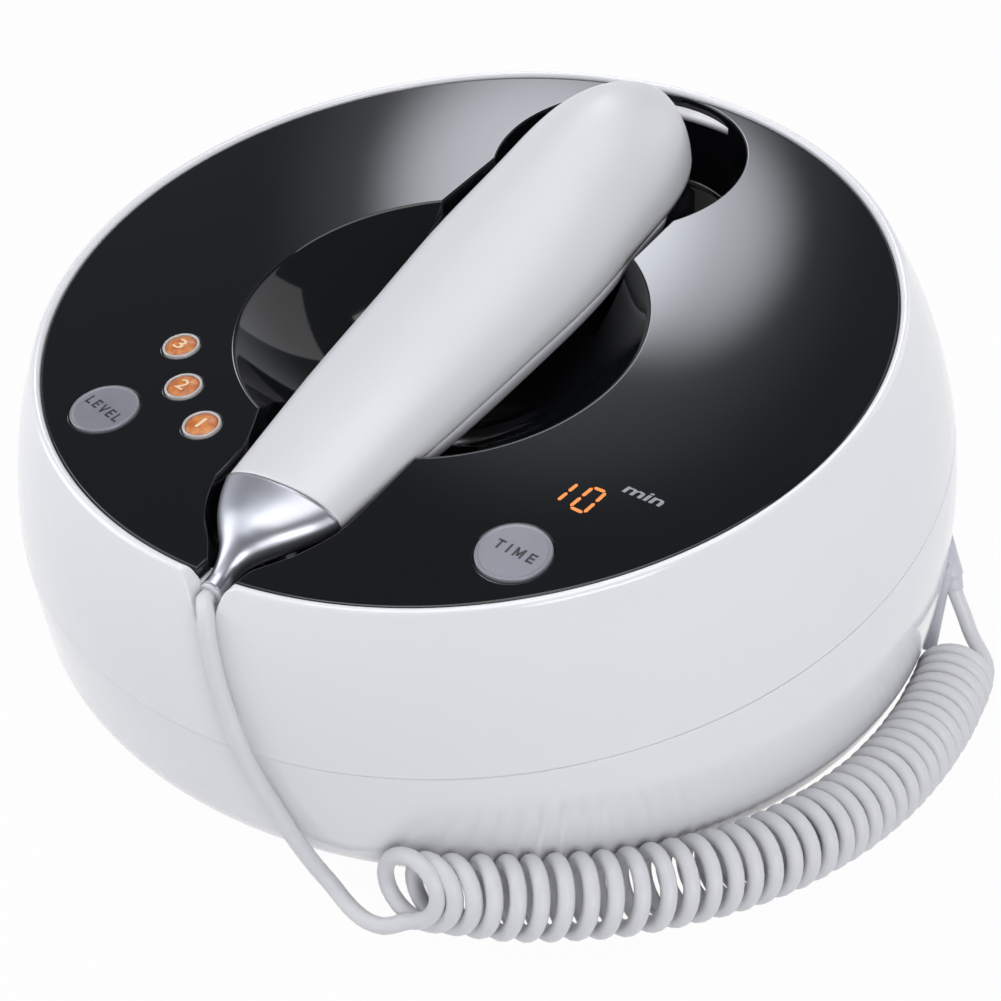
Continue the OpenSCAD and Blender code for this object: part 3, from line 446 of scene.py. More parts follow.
def lower_grid(rows, corner_rows, inset, top_w):
    """Rings of points from a height on the body of turning down to the floor."""
    turn = np.linspace(0, 2 * math.pi, round_steps, endpoint=False)
    top = np.full(round_steps, 60.0)
    for _ in range(30):
        r = form_r(turn, top) - inset
        y = foot_centre_y - r * np.cos(turn)
        top = panel_centre[2] + (top_w + math.sin(panel_tilt) * (y - panel_centre[1])) / math.cos(panel_tilt)
    rings = []
    for share in np.linspace(0, 1, rows):
        z = top + (foot_round - top) * share
        rings.append((form_r(turn, z) - inset, z))
    low_a = math.asin((foot_round - floor_h - inset) / (foot_round - inset))
    start = form_r(turn, np.full(round_steps, foot_round)) - body_r + foot_round
    for angle in np.linspace(0, low_a, corner_rows)[1:]:
        rings.append((body_r - foot_round + (start - inset) * math.cos(angle),
                      np.full(round_steps, foot_round - (foot_round - inset) * math.sin(angle))))
    return [np.c_[r * np.sin(turn), foot_centre_y - r * np.cos(turn), z] for r, z in rings]


outside = lower_grid(46, 14, 0.0, -seam_depth - 0.3)
edge = [lower_grid(2, 2, inset, w - seam_depth)[0] for inset, w in ((0.45, -0.08), (0.16, -0.12), (0.03, -0.2))]
inside = lower_grid(14, 6, wall, -seam_depth - 0.1)[::-1]
rings = edge + outside
points = np.vstack(rings + inside + [[[0, foot_centre_y, floor_h], [0, foot_centre_y, floor_h + wall]]])
first_in = len(rings) * round_steps
last_out, last_in = first_in - round_steps, first_in + (len(inside) - 1) * round_steps
faces = loft_faces(len(rings), round_steps, caps=False)
faces += loft_faces(len(inside), round_steps, caps=False, start=first_in)
for j in range(round_steps):
    n = (j + 1) % round_steps
    faces += [[last_out + j, last_out + n, len(points) - 2], [first_in + j, len(points) - 1, first_in + n],
              [last_in + j, last_in + n, n, j]]
lower_shell = new_piece("shell_lower", points, faces)


def plain_mesh(piece):
    """The mesh of an object as it looks with its modifiers."""
    bpy.context.view_layer.update()
    return bpy.data.meshes.new_from_object(piece.evaluated_get(bpy.context.evaluated_depsgraph_get()))


def cut(piece, operation, tool):
    """Joins or cuts with another solid, and leaves a plain mesh."""
    bool_mod = piece.modifiers.new("cut", "BOOLEAN")
    bool_mod.operation = operation
    bool_mod.object = tool
    bool_mod.solver = "EXACT"
    result = plain_mesh(piece)
    piece.modifiers.clear()
    old, piece.data = piece.data, result
    bpy.data.meshes.remove(old)
    bpy.data.objects.remove(tool)


def seam_z(x, y):
    return panel_centre[2] + (-seam_depth + math.sin(panel_tilt) * (y - panel_centre[1])) / math.cos(panel_tilt)


def rod(x, y, r, z0, z1, sides=32):
    p, f = turned([(z0, 0), (z0, r), (z1, r), (z1, 0)], sides)
    return p + [x, y, 0], f


def box_solid(low, high):
    (x0, y0, z0), (x1, y1, z1) = low, high
    p = np.array([(x, y, z) for x in (x0, x1) for y in (y0, y1) for z in (z0, z1)], float)
    return p, [[0, 1, 3, 2], [4, 6, 7, 5], [0, 4, 5, 1], [2, 3, 7, 6], [0, 2, 6, 4], [1, 5, 7, 3]]


columns = several("columns", [rod(x, y, 5, floor_h + 0.5, seam_z(x, y) - 0.4) for x, y in column_at], smooth=False)
cut(lower_shell, "UNION", columns)
wells = several("wells", [rod(x, y, 3.5, -1, seam_z(x, y) - seat_under_seam) for x, y in column_at]
                + [rod(x, y, 1.7, 5, 100) for x, y in column_at]
                + [rod(x, y, 8.2, -1, floor_h + 1.2, 48) for x, y in feet_at]
                + [box_solid(*rear_box)], smooth=False)
cut(lower_shell, "DIFFERENCE", wells)
dress(lower_shell, shell_white, "shell_white", "base", "lower_shell")

# ---- Top panel
# One moulding in glossy black ABS: the finger bowl, the pocket for the treatment head, the
# saddle and the channel that hold the handpiece are sunk in it. Screwed to the shell's ledge.
bowl_at, bowl_r, bowl_depth = np.array([0.5, -10.3]), 50.6, 24.0
ball_r = (bowl_r ** 2 + bowl_depth ** 2) / (2 * bowl_depth)
pocket_at, pocket_r, pocket_depth = np.array([0.1, 69.8]), 34.0, 26.0
saddle_low, saddle_high, saddle_depth = np.array([-30, 14.7]), np.array([28.5, 64.7]), 15.2
channel_depth, tail_depth = 18.0, 11.5
panel_t, recess_wall = 3.0, 2.0
level_at, time_at, button_r = np.array([-48, -77.4]), np.array([63.1, -66.4]), 8.3
lamps_at, lamp_r = np.array([[-48.7, -50.7], [-37.1, -61.8], [-23.4, -69.8]]), 4.6
panel_gap = 0.2
holes = [(level_at, button_r + panel_gap, 72), (time_at, button_r + panel_gap, 72)]
holes += [(q, lamp_r + panel_gap, 48) for q in lamps_at]
right_edge = [(26.8, -30), (26.8, -45), (26.8, -55), (27.2, -68), (27, -80.2), (24, -89.2), (21.9, -93.1),
              (19.8, -96.4), (18.4, -98.8), (18, -102), (18, -108.5)]
left_edge = [(8.1, -108.5), (8.1, -102), (7.8, -100.6), (4.9, -97.4), (2, -94.6), (-1.8, -91.3), (-4.8, -87.6),
             (-7.9, -82.1), (-8.5, -78.7), (-9, -74.5), (-10.6, -68.2), (-16.5, -56.9), (-20, -50), (-20, -40),
             (-20, -30)]
channel = np.vstack([smooth_line(right_edge, 5), smooth_line(left_edge, 5)])

# Section of a recess's edge: distance inwards from the outline and share of the depth there
edge_r = 0.45
edge_x = [-0.62] + [-edge_r + edge_r * math.sin(math.radians(x)) for x in (0, 18, 36, 54, 72, 88)]
edge_z = [0.0] + [edge_r * (1 - math.cos(math.radians(x))) for x in (0, 18, 36, 54, 72, 88)]
wall_x = [0.55, 0.75, 1.05, 1.5, 2.1, 2.4]
wall_share = [0.86, 0.93, 0.975, 0.995, 1.0, 1.0]
# Distances in from the panel's softly rounded outer edge
rim_x = [0, 0.12, 0.35, 0.7]


def recess_z(x, depth):
    """Depth of a steep-walled recess at a distance inside its outline."""
    share = np.interp(x, [0] + wall_x, [0] + wall_share)
    return np.where(x < 0, np.interp(x, edge_x, edge_z), edge_z[-1] + (depth - edge_z[-1]) * share)


def bowl_z(x):
    r = np.clip(bowl_r - x, 0, ball_r - 1)
    ball = np.sqrt(ball_r ** 2 - r ** 2) - (ball_r - bowl_depth)
    return np.where(x > 0.5, ball, np.where(x > -0.5, 0.615 * (x + 0.5) ** 2, 0.0))


def inside_polygon(p, poly):
    """Distance inside a polygon's outline, less than 0 outside."""
    best = np.full(len(p), 1e9)
    within = np.zeros(len(p), bool)
    for a, b in zip(poly, np.roll(poly, -1, axis=0)):
        d = b - a
        if d @ d < 1e-9:
            continue
        t = np.clip(((p - a) @ d) / (d @ d), 0, 1)
        best = np.minimum(best, np.linalg.norm(p - a - t[:, None] * d, axis=1))
        crosses = (a[1] > p[:, 1]) != (b[1] > p[:, 1])
        with np.errstate(divide="ignore", invalid="ignore"):
            at = a[0] + (p[:, 1] - a[1]) * d[0] / d[1]
        within ^= crosses & (p[:, 0] < at)
    return np.where(within, best, -best)


def inside_box(p):
    edge = np.minimum(p - saddle_low, saddle_high - p)
    return np.where(edge.min(1) > 0, edge.min(1), -np.hypot(*np.maximum(-edge, 0).T))


def panel_depths(p, grow):
    """Depth of the panel's upper face at places on it, or of its under side where grow is its wall."""
    channel_at = np.interp(p[:, 1], [-89, -83], [tail_depth, channel_depth])
    parts = [recess_z(pocket_r - np.linalg.norm(p - pocket_at, axis=1) + grow, pocket_depth),
             recess_z(inside_box(p) + grow, saddle_depth),
             recess_z(inside_polygon(p, channel) + grow, channel_at),
             bowl_z(bowl_r - np.linalg.norm(p - bowl_at, axis=1) + grow)]
    depth = np.max(parts, axis=0)
    if grow:
        return np.maximum(depth + grow, panel_t)
    for at, r, _sides in holes:
        depth = np.maximum(depth, np.interp(np.linalg.norm(p - at, axis=1) - r, [0, 0.1, 0.3], [0.32, 0.09, 0]))
    return np.maximum(depth, np.interp(panel_r - np.linalg.norm(p, axis=1), rim_x, [0.5, 0.18, 0.04, 0]))


def circle(at, r, count):
    a = np.linspace(0, 2 * math.pi, count, endpoint=False)
    return np.c_[at[0] + r * np.cos(a), at[1] + r * np.sin(a)]


def offset(poly, x):
    """A polygon's outline moved inwards by x."""
    ahead = unit_rows(np.roll(poly, -1, axis=0) - np.roll(poly, 1, axis=0))
    return poly + x * np.c_[ahead[:, 1], -ahead[:, 0]]


def corner_box(x):
    (x0, y0), (x1, y1) = saddle_low + x, saddle_high - x
    return np.array([(x0, y0), (x1, y0), (x1, y1), (x0, y1)])


loops = []
for x in edge_x + wall_x + [-2.0, -2.5]:
    loops += [circle(pocket_at, pocket_r - x, 220), corner_box(x), offset(channel, x)]
for x in [-2.5, -0.7, -0.5, -0.25, 0, 0.25, 0.5, 0.9] + list(np.arange(2, bowl_r - 1, 1.6)):
    loops.append(circle(bowl_at, bowl_r - x, 240 if x < 20 else 120))
loops += [circle((0, 0), panel_r - x, 360) for x in rim_x + [0.95]]
for at, r, n in holes:
    loops += [circle(at, r + x, n) for x in (0, 0.1, 0.3, 0.5)]
flat, lines = [], []
for loop in loops:
    keep = [p for i, p in enumerate(loop) if np.linalg.norm(p - loop[i - 1]) > 1e-4]
    lines += [(len(flat) + i, len(flat) + (i + 1) % len(keep)) for i in range(len(keep))]
    flat += [Vector(p) for p in keep]
found = delaunay_2d_cdt(flat, lines, [], 0, 1e-5)
plane = np.array([tuple(p) for p in found[0]])
triangles = np.array([tuple(t) for t in found[2]])
middles = plane[triangles].mean(1)
kept = np.linalg.norm(middles, axis=1) < panel_r
for at, r, n in holes:
    kept &= np.linalg.norm(middles - at, axis=1) > r * math.cos(math.pi / n) - 0.01
p = plane[triangles]
area = np.abs(np.cross(p[:, 1] - p[:, 0], p[:, 2] - p[:, 0])) / 2
triangles = triangles[kept & (area > 1e-9)]
within = np.linalg.norm(plane, axis=1) <= panel_r + 0.01
top_z, under_z = -panel_depths(plane, 0), -panel_depths(plane, recess_wall)
under_z = np.minimum(under_z, top_z - 0.5)
n = len(plane)
points = np.vstack([np.c_[plane, top_z], np.c_[plane, under_z]])
faces = [list(t) for t in triangles] + [[t[2] + n, t[1] + n, t[0] + n] for t in triangles]
edges = {}
for t in triangles:
    for i, j in ((t[0], t[1]), (t[1], t[2]), (t[2], t[0])):
        edges.setdefault((min(i, j), max(i, j)), []).append([j, i, i + n, j + n])
faces += [walls[0] for walls in edges.values() if len(walls) == 1]
top_panel = new_piece("panel", on_panel(points), faces, recalc=False)
panel_black = Finish("panel_black", (0.0052, 0.0058, 0.0072), 0.055, tone=0.05, cloud=20, grain=400, bump=0.0006,
                     rough_change=0.012)
dress(top_panel, panel_black, "panel_black", "base", "top_panel")

# ---- Level and time buttons
# Two round keys with a satin silver paint, a fine bright edge and printed words, moulded in ABS.
# Each slides in its hole in the panel and presses a switch under it.
button_h = 0.6
button_profile = [(-6.2, 0), (-6.2, 2.5), (-4.4, 2.5), (-4.4, button_r + 0.9), (-3.2, button_r + 0.9),
                  (-3.2, button_r), (button_h - 0.45, button_r), (button_h - 0.2, button_r - 0.06),
                  (button_h - 0.05, button_r - 0.2), (button_h, button_r - 0.42), (button_h, button_r - 0.75),
                  (button_h - 0.08, button_r - 0.9), (button_h - 0.1, button_r - 1.1), (button_h - 0.1, 0)]
button_silver = Finish("button_silver", (0.235, 0.242, 0.27), 0.38, metal=0.35, tone=0.05, cloud=300, grain=4200,
                       bump=0.006, rough_change=0.04)
printed_black = Finish("printed_black", (0.03, 0.03, 0.035), 0.4, tone=0.1, cloud=500, grain=3000, bump=0.003)
panel_matrix = Matrix.Translation(Vector(panel_centre) * mm) @ Matrix(
    [list(row) for row in panel_axes]).transposed().to_4x4()


def move_to_panel(piece, at, w, turn=0.0):
    """Puts a piece made in millimetres at the origin on the panel."""
    place = Matrix.Translation(Vector((at[0], at[1], w)) * mm) @ Matrix.Rotation(turn, 4, "Z")
    piece.data.transform(panel_matrix @ place)
    return piece


def words(name, text, width, height, bold, slant=0.0):
    """Lettering in the built-in face as a thin flat mesh, centred on the origin, in millimetres."""
    curve = bpy.data.curves.new(name, "FONT")
    curve.body = text
    curve.resolution_u = 3
    curve.offset = bold
    curve.extrude = 0.02
    made = linked(name, curve)
    mesh = plain_mesh(made)
    bpy.data.objects.remove(made)
    co = np.array([v.co for v in mesh.vertices])
    low, high = co.min(0), co.max(0)
    co = (co - (low + high) / 2) / (high - low) * [width, height, 0.03]
    co[:, 0] += slant * co[:, 1]
    for vert, c in zip(mesh.vertices, co * mm):
        vert.co = c
    work = bmesh.new()
    work.from_mesh(mesh)
    bmesh.ops.remove_doubles(work, verts=work.verts, dist=1e-7)
    bmesh.ops.recalc_face_normals(work, faces=work.faces)
    work.to_mesh(mesh)
    work.free()
    return linked(name, mesh)


# Strokes of the capital letters, in heights, and the width of each letter
letters = {"L": (0.55, [((0, 1), (0, 0)), ((0, 0), (0.55, 0))]),
           "E": (0.56, [((0, 1), (0, 0)), ((0, 0), (0.56, 0)), ((0, 0.5), (0.5, 0.5)), ((0, 1), (0.56, 1))]),
           "V": (0.7, [((0, 1), (0.35, 0)), ((0.35, 0), (0.7, 1))]),
           "T": (0.64, [((0, 1), (0.64, 1)), ((0.32, 1), (0.32, 0))]), "I": (0.0, [((0, 1), (0, 0))]),
           "M": (0.78, [((0, 0), (0, 1)), ((0, 1), (0.39, 0.2)), ((0.39, 0.2), (0.78, 1)), ((0.78, 1), (0.78, 0))])}


def printed(name, text, width, height, half):
    """Capitals made of straight strokes, centred on the origin, in millimetres."""
    total = sum(letters[c][0] for c in text)
    gap = (width / height - total) / (len(text) - 1)
    parts, at = [], -width / height / 2
    for c in text:
        for a, b in letters[c][1]:
            a, b = ((np.array([p[0] + at, p[1] - 0.5]) * height) for p in (a, b))
            along = (b - a) / np.linalg.norm(b - a) * half
            across = np.array([-along[1], along[0]])
            outline = [a - along - across, b + along - across, b + along + across, a - along + across]
            points = np.array([[x, y, z] for z in (-0.015, 0.015) for x, y in outline])
            parts.append((points, loft_faces(2, 4)))
        at += letters[c][0] + gap
    return several(name, parts, smooth=False)


for name, at, body, text, size, word_at, turn in (
        ("level", level_at, "level_key", "LEVEL", (11.8, 2.2, 0.27), (-47.8, -77.6), math.radians(-9)),
        ("time", time_at, "time_key", "TIME", (9.6, 2.2, 0.27), (63.4, -66.1), math.radians(-1))):
    points, faces = turned(button_profile, 96)
    button = move_to_panel(new_piece("button_" + name, points, faces), at, 0)
    dress(button, button_silver, "button_silver", body, name + "_button")
    word = move_to_panel(printed("word_" + name, text, *size), word_at, button_h - 0.085, turn)
    dress(word, printed_black, "black_plastic", body)

# ---- Level lamps
# Three amber domes in pale rings, lit from below, each with its number. Acrylic, pressed in.
lens_r, lamp_h, dome_r = 3.8, 0.8, 12.0
ring_parts, lens_parts = [], []
lamp_ring = Finish("lamp_ring", (0.50, 0.47, 0.46), 0.34, metal=0.2, tone=0.08, cloud=400, grain=3000, bump=0.005)
lamp_amber = Finish("lamp_amber", (0.38, 0.095, 0.012), 0.34, tone=0.0, cloud=300, grain=1500, bump=0.02, coat=0.1)
spots = lamp_amber.node("ShaderNodeTexNoise", Vector=lamp_amber.place, Scale=520.0, Detail=3.0)
glow = lamp_amber.ramp(spots.outputs["Fac"], 0.35, 0.68, 0.0, 1.0)
lamp_amber.recolour(glow, (0.55, 0.20, 0.035))
lamp_amber.set(Emission_Color=lamp_amber.mix(glow, (0.42, 0.09, 0.004), (0.85, 0.27, 0.04)), Emission_Strength=0.16)
numeral_pale = Finish("numeral_pale", (0.82, 0.62, 0.42), 0.4, tone=0.05, cloud=500, grain=3000, bump=0.002)
ring_profile = [(-4.2, lens_r + 0.1), (-4.2, lamp_r + 1), (-3.0, lamp_r + 1), (-3.0, lamp_r), (0.3, lamp_r),
                (0.48, lamp_r - 0.1), (0.55, lamp_r - 0.3), (0.5, lens_r + 0.2), (0.35, lens_r + 0.1)]
dome = [(lamp_h - dome_r + math.sqrt(dome_r ** 2 - r * r), r) for r in (0, 0.6, 1.2, 1.8, 2.4, 3.0, 3.4, 3.65)]
lens_profile = [(-5.4, 0), (-5.4, lamp_r + 1), (-4.2, lamp_r + 1), (-4.2, lens_r), (0.05, lens_r)] + dome[::-1]
for at, text in zip(lamps_at, "321"):
    for profile, maker, parts in ((ring_profile, lathe, ring_parts), (lens_profile, turned, lens_parts)):
        p, f = maker(profile, 56)
        parts.append((on_panel(p + [at[0], at[1], 0]), f))
    numeral = move_to_panel(words("numeral_" + text, text, 0.9 if text == "1" else 2.7, 3.4, bold=0.01),
                            at, lamp_h + 0.01, math.radians(-4))
    dress(numeral, numeral_pale, "lamp_amber", "base")
dress(several("lamp_ring_set", ring_parts), lamp_ring, "lamp_ring", "base", "lamp_rings")
dress(several("lamp_lens_set", lens_parts), lamp_amber, "lamp_amber", "base", "lamp_lenses")

# ---- Display
# Two seven-segment digits that shine through the black panel, and the printed unit beside them.
segment_lit = Finish("segment_lit", (0.72, 0.20, 0.03), 0.34, tone=0.06, cloud=700, grain=3000, bump=0.0)
segment_lit.set(Emission_Color=segment_lit.colour, Emission_Strength=0.55)
printed_grey = Finish("printed_grey", (0.27, 0.28, 0.30), 0.4, tone=0.05, cloud=500, grain=3000, bump=0.002)


def bar(a, b, half):
    """One lit bar with pointed ends, flat on the panel."""
    a, b = np.array(a, float), np.array(b, float)
    along = (b - a) / np.linalg.norm(b - a)
    across = np.array([-along[1], along[0]])
    a, b = a + along * half * 0.5, b - along * half * 0.5
    outline = [a, a + along * half + across * half, b - along * half + across * half, b,
               b - along * half - across * half, a + along * half - across * half]
    p = np.array([[x, y, z] for z in (0.005, 0.05) for x, y in outline])
    return on_panel(p), loft_faces(2, 6)


one_low, one_high = (62.0, -49.0), (62.9, -42.3)
zero = dict(tl=(66.3, -41.7), tr=(69.6, -41.6), bl=(65.3, -49.2), br=(68.9, -49.3))
left_mid, right_mid = (65.8, -45.4), (69.3, -45.4)
one_mid = (62.45, -45.65)
strokes = [(one_low, one_mid), (one_mid, one_high), (zero["tl"], zero["tr"]), (zero["bl"], zero["br"]),
           (zero["bl"], left_mid), (left_mid, zero["tl"]), (zero["br"], right_mid), (right_mid, zero["tr"])]
dress(several("display_digits", [bar(a, b, 0.42) for a, b in strokes], smooth=False), segment_lit, "led_lens", "base")
unit_word = move_to_panel(words("word_min", "min", 9.4, 2.8, slant=0.25, bold=0.02), (77.2, -38.3), 0.02)
dress(unit_word, printed_grey, "lamp_ring", "base")

# ---- Handpiece cover and base
# Two thin pearl-painted ABS half shells that meet in a fine seam and are held by two screws.
# The cover runs out over the head as a rounded tongue; the base ends round at the collar.
ring_at, handle_yaw = np.array([10.8, -104.7]), math.radians(3.65)
handle_len, handle_w, handle_wall, seam_w = 194.7, 49.2, 2.0, -3.0
head_from, head_drop, base_end, tip_w, cone_to = 155.5, 167.0, 174.0, 7.1, 26.3
arc_power = 2 / 2.25
# Along, share of the width, top, underside
rows = np.array([[26.3, 0.65, 4.6, -8.2], [60.9, 0.808, 8, -13.5], [90.5, 0.912, 9.8, -15],
                 [120.1, 1, 12.6, -14.3], [144.9, 0.972, 16, -13.9], [170, 0.948, 19.2, -13.5],
                 [200, 0.948, 19.2, -13.5]])


def on_handle(points):
    """From the handpiece's own frame, (across, along, out), to the common frame."""
    q, s, w = np.asarray(points, float).T
    turn = handle_yaw
    return on_panel(np.c_[ring_at[0] + q * math.cos(turn) - s * math.sin(turn),
                          ring_at[1] + q * math.sin(turn) + s * math.cos(turn), w])


def form_at(s, column):
    """Smooth curve through one column of the rows."""
    x, y = rows[:, 0], rows[:, column]
    after, before = np.minimum(np.arange(len(x)) + 1, len(x) - 1), np.maximum(np.arange(len(x)) - 1, 0)
    slope = (y[after] - y[before]) / (x[after] - x[before])
    k = max(i for i in range(len(x) - 1) if s >= x[i] - 1e-9)
    h = x[k + 1] - x[k]
    t = (s - x[k]) / h
    return ((2 * t ** 3 - 3 * t * t + 1) * y[k] + (t ** 3 - 2 * t * t + t) * h * slope[k]
            + (3 * t * t - 2 * t ** 3) * y[k + 1] + (t ** 3 - t * t) * h * slope[k + 1])


def round_off(x, power):
    return max(1 - max(x, 0) ** power, 0) ** (1 / power)


def half_w(s):
    return form_at(s, 1) * handle_w / 2 * round_off((s - head_from) / (handle_len - head_from), 2.3)


def top_w(s):
    return tip_w + (form_at(s, 2) - tip_w) * round_off((s - head_drop) / (handle_len - head_drop), 2.1)


def base_round(s):
    return round_off((s - head_from) / (base_end - head_from), 2)


def base_low(s):
    return (seam_w - form_at(s, 3)) * (0.4 + 0.6 * base_round(s))


def sheet_solid(rows, count):
    """Faces of a closed solid between a grid of points and a second grid behind it."""
    size = rows * count
    front = [[i * count + j, i * count + j + 1, (i + 1) * count + j + 1, (i + 1) * count + j]
             for i in range(rows - 1) for j in range(count - 1)]
    border = (list(range(count)) + [i * count + count - 1 for i in range(1, rows)]
              + [(rows - 1) * count + j for j in range(count - 2, -1, -1)]
              + [i * count for i in range(rows - 2, 0, -1)])
    return (front + [[size + k for k in face[::-1]] for face in front]
            + [[a, size + a, size + b, b] for a, b in zip(border, border[1:] + border[:1])])


arc_steps = 56
arc = np.linspace(0, math.pi, arc_steps + 1)
arc_x = np.sign(np.cos(arc)) * np.abs(np.cos(arc)) ** arc_power
arc_x[arc_steps // 2] = 0
arc_z = np.abs(np.sin(arc)) ** arc_power


def half_skin(stations, half, height, up, wall, edge=0.24):
    """A half shell over the seam plane, rounded at its edges, with a wall and closed ends."""
    out, back = [], []
    for s in stations:
        near_end = min(s - stations[0], 0.6) / 0.6
        pull = edge * (1 - near_end) ** 2
        h, t = max(half(s) - pull, 0.02), max(height(s) - pull, 0.02)
        x, z = h * arc_x, t * arc_z
        groove = edge * np.clip(1 - z / 0.45, 0, 1) ** 2
        out.append(np.c_[x - np.sign(x) * np.minimum(groove, np.abs(x)), np.full(arc_steps + 1, s),
                         seam_w + up * (z + 0.05)])
        inner_h, inner_t = max(h - wall, 0.01), max(t - wall, 0.01)
        inner_s = np.clip(s, stations[0] + wall, stations[-1] - wall)
        back.append(np.c_[inner_h * arc_x, np.full(arc_steps + 1, inner_s), seam_w + up * (inner_t * arc_z + 0.05)])
    return on_handle(np.vstack(out + back)), sheet_solid(len(stations), arc_steps + 1)


def stations_to(end, gap, count):
    """Places along the handpiece, close together where its end rounds off."""
    ease = 1 - np.sin(np.linspace(0, math.pi / 2, count))
    return np.unique(np.r_[cone_to + np.array([0, 0.12, 0.3, 0.6]), np.linspace(28, head_from, 66),
                           end - gap - (end - head_from - gap) * ease])


points, faces = half_skin(stations_to(handle_len, 0.06, 44), half_w, lambda s: top_w(s) - seam_w, 1, handle_wall)
cover = new_piece("handpiece_cover", points, faces)
handle_pearl = Finish("handle_pearl", (0.67, 0.67, 0.69), 0.42, metal=0.05, tone=0.008, cloud=18, grain=1400,
                      bump=0.0015, rough_change=0.02, coat=0.3, coat_rough=0.26)
dress(cover, handle_pearl, "handle_pearl", "handpiece", "handle_cover")
points, faces = half_skin(stations_to(base_end, 0.1, 26), lambda s: form_at(s, 1) * handle_w / 2 * base_round(s),
                          base_low, -1, handle_wall)
base_skin = new_piece("handpiece_base", points, faces)
handle_grey = Finish("handle_grey", (0.66, 0.66, 0.70), 0.33, metal=0.08, tone=0.02, cloud=40, grain=4200,
                     bump=0.005, coat=0.3, coat_rough=0.12)
dress(base_skin, handle_grey, "handle_grey", "handpiece", "handle_base")

# ---- Tail cone and ring
# A flared collar in satin silver paint over ABS between the handpiece and its cord, with a
# small pale ring that clamps the cord.
# Along, middle, half width, top, underside
cone_rows = np.array([[0, 0.8, 2.72, -2, -7.8], [1.5, 0.75, 2.62, -1.8, -7.6], [3, 0.7, 2.6, -1.5, -7.4],
                      [6, 0.5, 3, -0.3, -6.9], [9, 0.3, 4.3, 1.1, -6.5], [12, 0.1, 6.8, 2.5, -6.5],
                      [16, 0, 10.1, 3.7, -7], [21, 0, 13.4, 4.3, -7.7], [26.1, 0, 15.85, 4.45, -8.05]])
cone_sides = 72
turn = np.linspace(0, 2 * math.pi, cone_sides, endpoint=False)
cx = np.sign(np.cos(turn)) * np.abs(np.cos(turn)) ** 0.93
cz = np.sign(np.sin(turn)) * np.abs(np.sin(turn)) ** 0.93
cone_rings = [np.c_[mid + half * cx, np.full(cone_sides, s), (high + low) / 2 + (high - low) / 2 * cz]
              for s, mid, half, high, low in smooth_line(cone_rows, 6)]
last = cone_rings[-1].copy()
last[:, 1] += 0.12
cone_rings.append(np.c_[last[:, 0] * 0.985, last[:, 1], (last[:, 2] + 1.6) * 0.985 - 1.6])
cone = new_piece("tail_flare", on_handle(np.vstack(cone_rings)), loft_faces(len(cone_rings), cone_sides))
cone_silver = Finish("cone_silver", (0.46, 0.47, 0.51), 0.33, metal=0.88, tone=0.04, cloud=60, grain=4000, bump=0.002,
                     rough_change=0.02)
dress(cone, cone_silver, "cone_silver", "handpiece", "tail_cone")
ring_profile = [(-0.9, 0), (-0.9, 2.1), (-0.8, 2.45), (-0.55, 2.68), (-0.3, 2.72), (0, 2.6), (0.4, 2.3), (0.4, 0)]
points, faces = turned(ring_profile, 48)
tail_ring = new_piece("tail_clamp", on_handle(np.c_[points[:, 0] + 0.8, points[:, 2], points[:, 1] - 4.9]), faces)
dress(tail_ring, handle_grey, "handle_grey", "handpiece", "tail_ring")

# ---- Treatment head
# A pale collar turned in ABS, a dark holder pressed in it, and four domed steel electrodes
# that touch the skin. It lies face down in the pocket.
head_at = handle_len - 18.3
collar_profile = [(-12, 13.0), (-12, 15.2), (-11.8, 15.65), (-11.4, 15.92), (-10.9, 16.0), (-6.9, 16.0), (-6.7, 15.8),
                  (-6.3, 15.8), (-6.1, 16.0), (-3.5, 16.0), (-3.2, 15.7), (-3.2, 13.0)]
points, faces = lathe(collar_profile, 120)
dress(new_piece("head_ring", on_handle(points + [0, head_at, 0]), faces), handle_grey, "handle_grey", "handpiece",
      "head_collar")
holder_profile = [(-9.0, 0), (-9.0, 12.7), (-12.0, 12.8), (-12.0, 14.8), (-15.9, 14.8), (-16.5, 14.6), (-16.9, 14.1),
                  (-17.0, 13.6), (-17.0, 12.6), (-16.7, 12.3), (-16.7, 0)]
black_plastic = Finish("black_plastic", (0.022, 0.022, 0.024), 0.42, tone=0.12, cloud=200, grain=2600, bump=0.03)
points, faces = turned(holder_profile, 120)
dress(new_piece("head_plate", on_handle(points + [0, head_at, 0]), faces), black_plastic, "black_plastic",
      "handpiece", "electrode_holder")
electrode_profile = [(-11, 0), (-11, 1.5), (-16.8, 1.5), (-16.8, 3.5), (-17.2, 3.52), (-17.7, 3.36), (-18.2, 2.98),
                     (-18.6, 2.4), (-18.95, 1.6), (-19.12, 0.8), (-19.2, 0)]
parts, ring_r = [], 8.5
for angle in np.radians((45, 135, 225, 315)):
    p, f = turned(electrode_profile, 40)
    parts.append((on_handle(p + [ring_r * math.cos(angle), head_at + ring_r * math.sin(angle), 0]), f))
electrode_steel = Finish("electrode_steel", (0.72, 0.72, 0.73), 0.16, metal=1.0, tone=0.03, cloud=300, grain=6000,
                         bump=0.002)
dress(several("electrode_set", parts), electrode_steel, "electrode_steel", "handpiece", "electrodes")

# ---- Cord housing
# A small separate cover on the right rear wall that the gland sits in, in a slightly greyer ABS.
housing_a, housing_z, housing_r = (106.0, 112.0), (6.0, 33.0), body_r + 1.2
housing_round, housing_drop = 1.2, 1.1
columns_n, rows_n = 25, 41
turn_grid = np.radians(np.linspace(*housing_a, columns_n))
z_grid = np.linspace(*housing_z, rows_n)
front, behind = [], []


def edge_drop(x):
    """How far the rounded face drops at a distance from the housing's edge."""
    return housing_drop * (1 - math.sqrt(max(0, 1 - (1 - min(x / housing_round, 1)) ** 2)))


